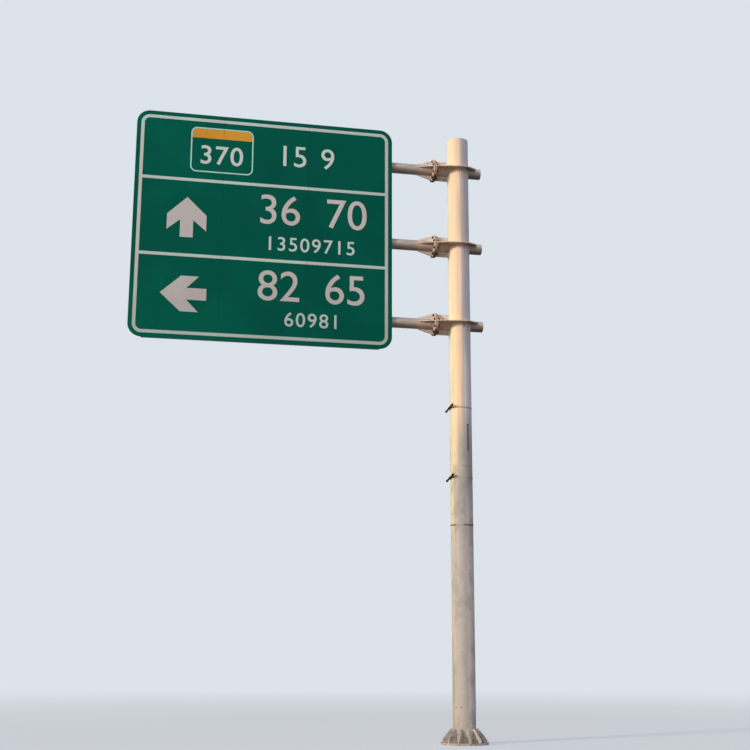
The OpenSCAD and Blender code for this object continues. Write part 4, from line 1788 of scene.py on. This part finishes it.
@dataclass(frozen=True)
class Welds(SubAssembly):
    """Fillet welds of the arm joints and of the post's foot.

    Attributes:
        leg: Width of the structural welds.
        small_leg: Width of the welds on gussets.
        ring_gap: Angle from the stub to the end of a weld round the post, in
            radians.
        gusset_count: Gussets round the post's foot.
        foot_h: Height of a foot gusset.
        foot_t: Thickness of a foot gusset.
        foot_gap: Distance of its toe from the base flange's rim.
        snipe: Corner cut off each arm gusset and foot gusset.
    """

    leg: float = 10 * MM
    small_leg: float = 7 * MM
    ring_gap: float = 0.01
    gusset_count: int = 12
    foot_h: float = 190 * MM
    foot_t: float = 14 * MM
    foot_gap: float = 15 * MM
    snipe: float = 18 * MM

    def build(self) -> None:
        """Makes one piece for each joint and one for the foot."""
        for level, height in self.layout.heights.items():
            seams = (*self.plate_seams(), *self.stub_seams(), *self.arm_seams())
            joint = Shape.join(seam.shape() for seam in seams)
            raised = joint.reshaped(joint.points + [0, 0, height])
            self.make(f"joint_welds_{level.value}", raised, WELD_PAINT)
        foot = Shape.join(seam.shape() for seam in self.foot_seams())
        self.make("foot_welds", foot, POST_PAINT)

    def plate_seams(self) -> list[Seam]:
        """Seams of the ring plates, round the post and along the stub.

        Returns:
            The seams, with the arm's axis at z = 0.
        """
        layout, seams = self.layout, []
        for up in (-1, 1):
            z = layout.plate_lift + up * layout.plate_t / 2
            tube_y = math.sqrt(layout.arm_r**2 - z**2)
            open_angle = math.asin(tube_y / layout.post_r) + self.ring_gap
            turn = np.linspace(open_angle, np.pi - open_angle, ARC_POINTS)
            post_x = layout.post_r * math.cos(open_angle)
            # Up along the tube's round side, from the plate's face
            tube_up = np.array([0, -z, tube_y]) / layout.arm_r
            runs = ((layout.stub_face, -post_x), (post_x, layout.plate_tail_x))
            for side in (-1, 1):
                out = np.stack([np.cos(turn), side * np.sin(turn), 0 * turn], axis=-1)
                arc = layout.post_r * out + [0, 0, z]
                seams.append(Seam(arc, out, (0, 0, up), self.leg))
                climb = up * tube_up * [1, side, 1]
                for start, end in runs:
                    line = stretch((start, side * tube_y, z), (end, side * tube_y, z))
                    seams.append(Seam(line, (0, side, 0), climb, self.leg))
        return seams

    def stub_seams(self) -> list[Seam]:
        """Seams of the stub with the post, its flange and its two gussets.

        Where the tube leaves the post the corner is their meeting curve: at
        angle p round the tube, y = r cos p, z = r sin p and x is where the
        post's circle has that y.

        Returns:
            The seams, with the arm's axis at z = 0.
        """
        radius, post = self.layout.arm_r, self.layout.post_r
        face, reach = self.layout.stub_face, self.layout.gusset_r
        out = np.roll(ring(TUBE_POINTS), 1, axis=1)
        tube = radius * out
        seams = [Seam(tube + [face, 0, 0], (1, 0, 0), out, self.leg, True)]
        for side in (-1, 1):
            path = tube.copy()
            path[:, 0] = side * np.sqrt(post**2 - tube[:, 1] ** 2)
            normal = path * [1, 1, 0] / post
            along = out - np.sum(out * normal, axis=1, keepdims=True) * normal
            along /= np.linalg.norm(along, axis=1, keepdims=True)
            seams.append(Seam(path, (side, 0, 0), along, self.leg, True))
        for up in (-1, 1):
            low, high = up * radius, up * reach
            for side in (-1, 1):
                y = side * self.layout.gusset_t / 2
                corners = (
                    ((face, y, low), (-post, y, low), (0, 0, up)),
                    ((-post, y, low), (-post, y, high), (-1, 0, 0)),
                    ((face, y, low), (face, y, high), (1, 0, 0)),
                )
                for start, end, off in corners:
                    line = stretch(start, end)
                    seams.append(Seam(line, (0, side, 0), off, self.small_leg))
        return seams

    def arm_seams(self) -> list[Seam]:
        """Seams of the arm with its flange and its four gussets.

        A gusset's side meets the tube where reach along the gusset is
        sqrt(r * r - d * d), d being the side's distance from the axis.

        Returns:
            The seams, with the arm's axis at z = 0.
        """
        layout = self.layout
        radius, face = layout.arm_r, layout.arm_face
        out = np.roll(ring(TUBE_POINTS), 1, axis=1)
        seams = [Seam(radius * out + [face, 0, 0], (-1, 0, 0), out, self.leg, True)]
        lift = np.array([0, 0, layout.plate_lift])
        toe = [layout.gusset_end_x - face, 0, 0]
        gussets = ((0, 1, 0), lift), ((0, -1, 0), lift), ((0, 0, 1), 0), ((0, 0, -1), 0)
        for direction, middle in gussets:
            up = np.array(direction, float)
            for side in (-1, 1):
                across = side * np.cross(up, (1, 0, 0))
                offset = middle + layout.gusset_t / 2 * across
                reach = math.sqrt(radius**2 - offset @ offset)
                normal = (reach * up + offset) / radius
                climb = across - (across @ normal) * normal
                climb /= np.linalg.norm(climb)
                root = np.array([face, 0, 0]) + offset
                foot = root + reach * up
                run = stretch(foot - [self.snipe, 0, 0], foot + toe)
                rise = stretch(
                    root + (radius + self.snipe) * up, root + layout.gusset_r * up
                )
                seams.append(Seam(run, climb, up, self.small_leg))
                seams.append(Seam(rise, across, (-1, 0, 0), self.small_leg))
        return seams

    def foot_seams(self) -> list[Seam]:
        """Seams of the post and the foot gussets on the base flange.

        Returns:
            The seams.
        """
        post, toe = self.layout.post_r, self.layout.base_r - self.foot_gap
        floor = np.array([0, 0, self.layout.base_t])
        out = ring(POST_POINTS)
        seams = [Seam(post * out + floor, out, (0, 0, 1), self.leg, True)]
        for radial in ring(self.gusset_count):
            for side in (-1, 1):
                across = side * np.array([-radial[1], radial[0], 0])
                root = self.foot_t / 2 * across + floor
                heel = root + post * radial
                run = stretch(root + (post + self.snipe) * radial, root + toe * radial)
                rise = stretch(heel + [0, 0, self.snipe], heel + [0, 0, self.foot_h])
                seams.append(Seam(run, across, (0, 0, 1), self.small_leg))
                seams.append(Seam(rise, across, radial, self.small_leg))
        return seams


@dataclass(frozen=True)
class Patch:
    """A rectangle on the sign, in mm from the sign's top left corner.

    Attributes:
        left: Left side.
        right: Right side.
        top: Top.
        bottom: Bottom.
    """

    left: float
    right: float
    top: float
    bottom: float

    def holds(self, x: np.ndarray, drop: np.ndarray, margin: float) -> np.ndarray:
        """Tells which points lie on the rectangle, widened by a margin."""
        across = (x > self.left - margin) & (x < self.right + margin)
        return across & (drop > self.top - margin) & (drop < self.bottom + margin)


@dataclass(frozen=True)
class Rivets(SubAssembly):
    """Rivets that hold the sheets to the channels and the edge rails.

    Attributes:
        size: Diameter of a head.
        front_h: Height of a head, under the film.
        tail_h: Height of a tail behind.
        root: How far a rivet's edge reaches into the metal.
        pitch: Distance from one to the next, about.
        foot_x: Distance of a row from the channel's middle.
        end_gap: Distance of the last rivet from a channel's end.
        rail_count: Rivets in one rail.
        rail_gap: Distance of the last rivet from a rail's end.
        foot_t: Thickness of a channel's foot.
        rail_t: Thickness of a rail's web.
        film_gap_mm: How far a film's edge keeps from a head.
        legend: Places where films hide the heads.
    """

    size: float = 11 * MM
    front_h: float = 0.9 * MM
    tail_h: float = 3 * MM
    root: float = 0.3 * MM
    pitch: float = 150 * MM
    foot_x: float = 37.5 * MM
    end_gap: float = 40 * MM
    rail_count: int = 24
    rail_gap: float = 50 * MM
    foot_t: float = 4 * MM
    rail_t: float = 3 * MM
    film_gap_mm: float = 12.0
    legend: tuple[Patch, ...] = ()

    def dome(self, height: float) -> Shape:
        """Makes a low dome on z = 0, an ellipse turned round its axis.

        Its rings lie at 0, 35 and 65 degrees of the ellipse, and one more at
        its root in the metal.

        Args:
            height: Its height.

        Returns:
            The dome.
        """
        rise = np.radians([0, 0, 35, 65])
        radius = np.tile((self.size / 2 * np.cos(rise))[:, None], (1, RIVET_POINTS))
        heights = height * np.sin(rise)
        heights[0] = -self.root
        return turned_skin(radius, heights)

    def build(self) -> None:
        """Sets the heads in front and the tails behind."""
        layout = self.layout
        low, high = (corner.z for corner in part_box("rear_channels"))
        count = int((high - low - 2 * self.end_gap) / self.pitch) + 1
        heights = np.linspace(low + self.end_gap, high - self.end_gap, count)
        columns = layout.channels[:, None] + np.array([-1, 1]) * self.foot_x
        x, z = np.meshgrid(columns.ravel(), heights)
        feet = np.stack([x.ravel(), z.ravel()], axis=-1)
        rails = []
        for name in ("edge_rail_top", "edge_rail_bottom"):
            start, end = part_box(name)
            row = np.full((self.rail_count, 2), (start.z + end.z) / 2)
            ends = (start.x + self.rail_gap, end.x - self.rail_gap)
            row[:, 0] = np.linspace(*ends, self.rail_count)
            rails.append(row)
        on_rails = np.vstack(rails)
        spots = np.vstack([feet, on_rails])
        spots = spots[self.bare(spots)]
        heads = self.place(spots, layout.sheet_front, -1, self.front_h)
        self.make("face_rivets", heads, GREEN_FILM)
        behind = layout.sheet_back
        tails = [
            self.place(feet, behind + self.foot_t, 1, self.tail_h),
            self.place(on_rails, behind + self.rail_t, 1, self.tail_h),
        ]
        self.make("rivet_tails", Shape.join(tails), RIVET_ALLOY)

    def place(self, spots: np.ndarray, y: float, side: int, height: float) -> Shape:
        """Sets domes on a plane of the sign.

        Args:
            spots: X and Z of each.
            y: Y of the plane.
            side: -1 if they stand out forwards, 1 if backwards.
            height: Height of a dome.

        Returns:
            The domes.
        """
        origins = np.insert(spots, 1, y, axis=1)
        places = frames(origins, (1, 0, 0), (0, 0, -side), (0, side, 0))
        return self.dome(height).copies(places)

    def bare(self, spots: np.ndarray) -> np.ndarray:
        """Tells which places no legend film covers.

        Args:
            spots: X and Z of each.

        Returns:
            True for each place that is bare.
        """
        left, _, _, top = self.layout.sign
        x, drop = (spots[:, 0] - left) / MM, (top - spots[:, 1]) / MM
        covered = np.zeros(len(spots), bool)
        for patch in self.legend:
            covered |= patch.holds(x, drop, self.film_gap_mm)
        return ~covered


@dataclass(frozen=True)
class Numeral:
    """Plain digits in a rectangle of the sign.

    Attributes:
        digits: The digits.
        place: Rectangle that they fill in height and are centred in.
        bold: How far the outline is widened, as a share of the height.
        spacing: Distance from digit to digit, as a share of the usual one.
        curve_steps: Straight steps in each curved part of an outline.
    """

    digits: str
    place: Patch
    bold: float = 0.002
    spacing: float = 1.0
    curve_steps: int = 10

    def outline(self) -> Shape:
        """Turns the digits into a flat film, standing on the sign's face.

        It is one unit thick, half of it on each side of the plane.

        Returns:
            Its shape in mm, X and drop from the sign's top left corner.
        """
        curve = bpy.data.curves.new("digits", "FONT")
        curve.body = self.digits
        curve.size, curve.extrude = 1.0, 0.5
        curve.offset, curve.space_character = self.bold, self.spacing
        curve.resolution_u = self.curve_steps
        holder = in_scene("digits", curve)
        bpy.context.view_layer.update()
        seen = holder.evaluated_get(bpy.context.evaluated_depsgraph_get())
        mesh = bpy.data.meshes.new_from_object(seen)
        mesh.calc_loop_triangles()
        flat = np.empty(len(mesh.vertices) * 3, np.float32)
        mesh.vertices.foreach_get("co", flat)
        tris = np.empty(len(mesh.loop_triangles) * 3, np.int32)
        mesh.loop_triangles.foreach_get("vertices", tris)
        bpy.data.objects.remove(holder)
        bpy.data.curves.remove(curve)
        bpy.data.meshes.remove(mesh)
        points = flat.reshape(-1, 3).astype(float)
        low, high = points.min(axis=0), points.max(axis=0)
        place = self.place
        scale = (place.bottom - place.top) / (high[1] - low[1])
        middle = (place.left + place.right) / 2
        x = middle + (points[:, 0] - (low[0] + high[0]) / 2) * scale
        drop = place.bottom - (points[:, 1] - low[1]) * scale
        stood = np.stack([x, points[:, 2], drop], axis=-1)
        return Shape(stood, np.empty((0, 4), int), tris.reshape(-1, 3))


@dataclass(frozen=True)
class Legend(SubAssembly):
    """Plain numbers in white film, where a real sign has its words.

    Attributes:
        film: Thickness of the film.
        numerals: The numbers.
        level_lines: Top and bottom of each level line, in mm from the top.
        upright_lines: Sides of each upright line, in mm from the left.
        symbols: Rectangles round the badge and the arrows.
    """

    film: float = 0.5 * MM
    numerals: tuple[Numeral, ...] = (
        Numeral("370", Patch(940, 1680, 500, 808), 0.01, 1.1),
        Numeral("15", Patch(2243, 2643, 400, 740)),
        Numeral("9", Patch(2765, 3165, 400, 740)),
        Numeral("36", Patch(1941, 2527, 1230, 1710)),
        Numeral("70", Patch(2985, 3571, 1230, 1710)),
        Numeral("13509715", Patch(2060, 3410, 1905, 2130), 0.008, 1.15),
        Numeral("82", Patch(1939, 2525, 2455, 2935)),
        Numeral("65", Patch(2965, 3551, 2455, 2935)),
        Numeral("60981", Patch(2300, 3160, 3100, 3325), 0.008, 1.15),
    )
    level_lines: tuple[tuple[float, float], ...] = (
        (52, 126),
        (1050, 1116),
        (2258, 2326),
        (3474, 3548),
    )
    upright_lines: tuple[tuple[float, float], ...] = ((52, 126), (3874, 3948))
    symbols: tuple[Patch, ...] = (
        Patch(827, 1792, 207, 942),
        Patch(506, 1110, 1363, 2008),
        Patch(449, 1140, 2617, 3171),
    )

    def build(self) -> None:
        """Lays the numbers on the sign."""
        flat = Shape.join(numeral.outline() for numeral in self.numerals)
        left, _, _, top = self.layout.sign
        x, deep, drop = flat.points.T
        y = self.layout.sheet_front - self.film / 2 - deep * self.film
        points = np.stack([left + x * MM, y, top - drop * MM], axis=-1)
        self.make("legend_numerals", flat.reshaped(points), WHITE_FILM)

    def covered(self) -> tuple[Patch, ...]:
        """Gives the rectangles of the whole legend.

        Returns:
            Those of the numbers and those of the CAD nodes' films.
        """
        left, right, low, high = self.layout.sign
        width, drop = (right - left) / MM, (high - low) / MM
        return (
            *(Patch(0, width, *line) for line in self.level_lines),
            *(Patch(*line, 0, drop) for line in self.upright_lines),
            *self.symbols,
            *(numeral.place for numeral in self.numerals),
        )


@dataclass(frozen=True)
class Lamp:
    """A distant soft lamp.

    Attributes:
        name: Its name.
        strength: Its strength, of which pi lights a white card fully.
        spread_deg: Width of the source as seen from the object.
        turn_deg: Direction that it comes from, from the front towards the
            sign's side.
        height_deg: How high it stands.
        colour: Its colour.
    """

    name: str
    strength: float
    spread_deg: float
    turn_deg: float
    height_deg: float
    colour: str

    def build(self) -> None:
        """Adds the lamp, which shines down its own -Z."""
        data = bpy.data.lights.new(self.name, "SUN")
        data.energy, data.angle = self.strength, math.radians(self.spread_deg)
        data.color = linear(self.colour)[:3]
        lamp = in_scene(self.name, data)
        tilt = math.radians(90 - self.height_deg)
        lamp.rotation_euler = (tilt, 0, -math.radians(self.turn_deg))


@dataclass(frozen=True)
class Studio:
    """Camera, lamps, backdrop and floor.

    Attributes:
        eye: Where the camera stands.
        yaw_deg: How far it looks to the right of +Y.
        pitch_deg: How far it looks up.
        roll_deg: How far it leans to the right.
        lens_mm: Focal length.
        sensor_mm: Width of the sensor.
        sight: Nearest and furthest distance that it sees.
        lamps: Warm key from the sign's side, and a cool, wide front fill.
        backdrop: Colour behind the object.
        fill_colour: Colour of the light from all round.
        fill: Strength of that light.
        floor: Colour of the floor as it is seen.
        floor_bounce: Colour of the floor as it lights the object from below.
        floor_r: Radius of the floor.
        floor_drop: How far the floor lies under the object.
        fade: Distances where the floor starts to fade into the backdrop, and
            where it has.
        fade_near: How much of the backdrop shows before that.
    """

    eye: tuple[float, float, float] = (-5.035, -18.089, 1.223)
    yaw_deg: float = 11.509
    pitch_deg: float = 12.912
    roll_deg: float = 0.174
    lens_mm: float = 59.26
    sensor_mm: float = 36.0
    sight: tuple[float, float] = (0.1, 500.0)
    lamps: tuple[Lamp, ...] = (
        Lamp("key", 2.35, 9, 64, 17, "#FFEDD2"),
        Lamp("front_fill", 1.15, 60, 26, 18, "#E4ECFF"),
    )
    backdrop: str = "#DCE3EA"
    fill_colour: str = "#DCE6FF"
    fill: float = 0.3
    floor: str = "#F2F3F4"
    floor_bounce: str = "#9A968E"
    floor_r: float = 90.0
    floor_drop: float = 0.5 * MM
    fade: tuple[float, float] = (7.0, 34.0)
    fade_near: float = 0.5

    def build(self) -> None:
        """Sets everything up."""
        self.camera()
        for lamp in self.lamps:
            lamp.build()
        self.world()
        self.lay_floor()

    def camera(self) -> None:
        """Looks along the photograph's line of sight.

        Forward is (sin y cos p, cos y cos p, sin p) for yaw y and pitch p.
        Right is level, and both right and up lean by the roll.
        """
        degrees = (self.yaw_deg, self.pitch_deg, self.roll_deg)
        yaw, pitch, roll = (math.radians(angle) for angle in degrees)
        level = np.array([math.sin(yaw), math.cos(yaw), 0])
        forward = math.cos(pitch) * level + [0, 0, math.sin(pitch)]
        right = np.array([math.cos(yaw), -math.sin(yaw), 0])
        up = np.cross(right, forward)
        leaned = math.cos(roll) * right + math.sin(roll) * up
        upright = math.cos(roll) * up - math.sin(roll) * right
        data = bpy.data.cameras.new("camera")
        data.lens, data.sensor_width = self.lens_mm, self.sensor_mm
        data.clip_start, data.clip_end = self.sight
        camera = in_scene("camera", data)
        matrix = np.eye(4)
        matrix[:3, :3] = np.stack([leaned, upright, -forward], axis=1)
        matrix[:3, 3] = self.eye
        camera.matrix_world = Matrix(matrix.tolist())
        bpy.context.scene.camera = camera

    def shown(self, tree: bpy.types.NodeTree) -> bpy.types.NodeSocket:
        """Gives 1 for rays that see the backdrop, and 0 for those that light.

        Args:
            tree: Node tree that gets the nodes.

        Returns:
            The socket.
        """
        path = add(tree, "LightPath")
        seen = path.outputs["Is Camera Ray"]
        for name in ("Is Glossy Ray", "Is Transmission Ray"):
            inputs = {0: seen, 1: path.outputs[name]}
            seen = add(tree, "Math", inputs, operation="MAXIMUM").outputs[0]
        return seen

    def world(self) -> None:
        """Lights from all round, behind a plain pale backdrop."""
        world = bpy.data.worlds.new("studio")
        world.use_nodes = True
        bpy.context.scene.world = world
        tree = world.node_tree
        tree.nodes.clear()
        light = add(tree, "Background", {0: linear(self.fill_colour), 1: self.fill})
        plain = add(tree, "Background", {0: linear(self.backdrop), 1: 1.0})
        mixed = {0: self.shown(tree), 1: light.outputs[0], 2: plain.outputs[0]}
        mix = add(tree, "MixShader", mixed)
        add(tree, "OutputWorld", {0: mix.outputs[0]})

    def lay_floor(self) -> None:
        """Adds a round floor that fades into the backdrop far out."""
        points = self.floor_r * ring(ARC_POINTS) - [0, 0, self.floor_drop]
        mesh = bpy.data.meshes.new("floor")
        mesh.from_pydata(points.tolist(), [], [list(range(len(points)))])
        material = bpy.data.materials.new("floor_paper")
        material.use_nodes = True
        tree = material.node_tree
        tree.nodes.clear()
        seen = self.shown(tree)
        both = {0: seen, 6: linear(self.floor_bounce), 7: linear(self.floor)}
        colour = add(tree, "Mix", both, data_type="RGBA").outputs[2]
        paper = add(tree, "BsdfDiffuse", {0: colour})
        glow = add(tree, "Emission", {0: linear(self.backdrop), 1: 1.0})
        coords = add(tree, "TexCoord").outputs["Object"]
        away = add(tree, "VectorMath", {0: coords}, operation="LENGTH").outputs["Value"]
        near, far = self.fade
        reach = {0: away, 1: near, 2: far, 3: self.fade_near, 4: 1.0}
        fade = add(tree, "MapRange", reach, interpolation_type="SMOOTHSTEP")
        faded = {0: fade.outputs[0], 1: seen}
        share = add(tree, "Math", faded, operation="MULTIPLY").outputs[0]
        mixed = {0: share, 1: paper.outputs[0], 2: glow.outputs[0]}
        mix = add(tree, "MixShader", mixed)
        add(tree, "OutputMaterial", {0: mix.outputs[0]})
        mesh.materials.append(material)
        in_scene("floor", mesh)


def main() -> None:
    """Builds the dressed gantry round its CAD frame."""
    logging.basicConfig(level=logging.INFO, format="%(message)s")
    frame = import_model()
    bpy.context.scene.view_settings.view_transform = "Standard"
    layout = Layout.read()
    legend = Legend(layout)
    dress_nodes(frame["nodes"], layout)
    FlangeBolts(layout).build()
    BandRods(layout).build()
    ClampBolts(layout).build()
    Welds(layout).build()
    Rivets(layout, legend=legend.covered()).build()
    legend.build()
    Studio().build()


if __name__ == "__main__":
    main()
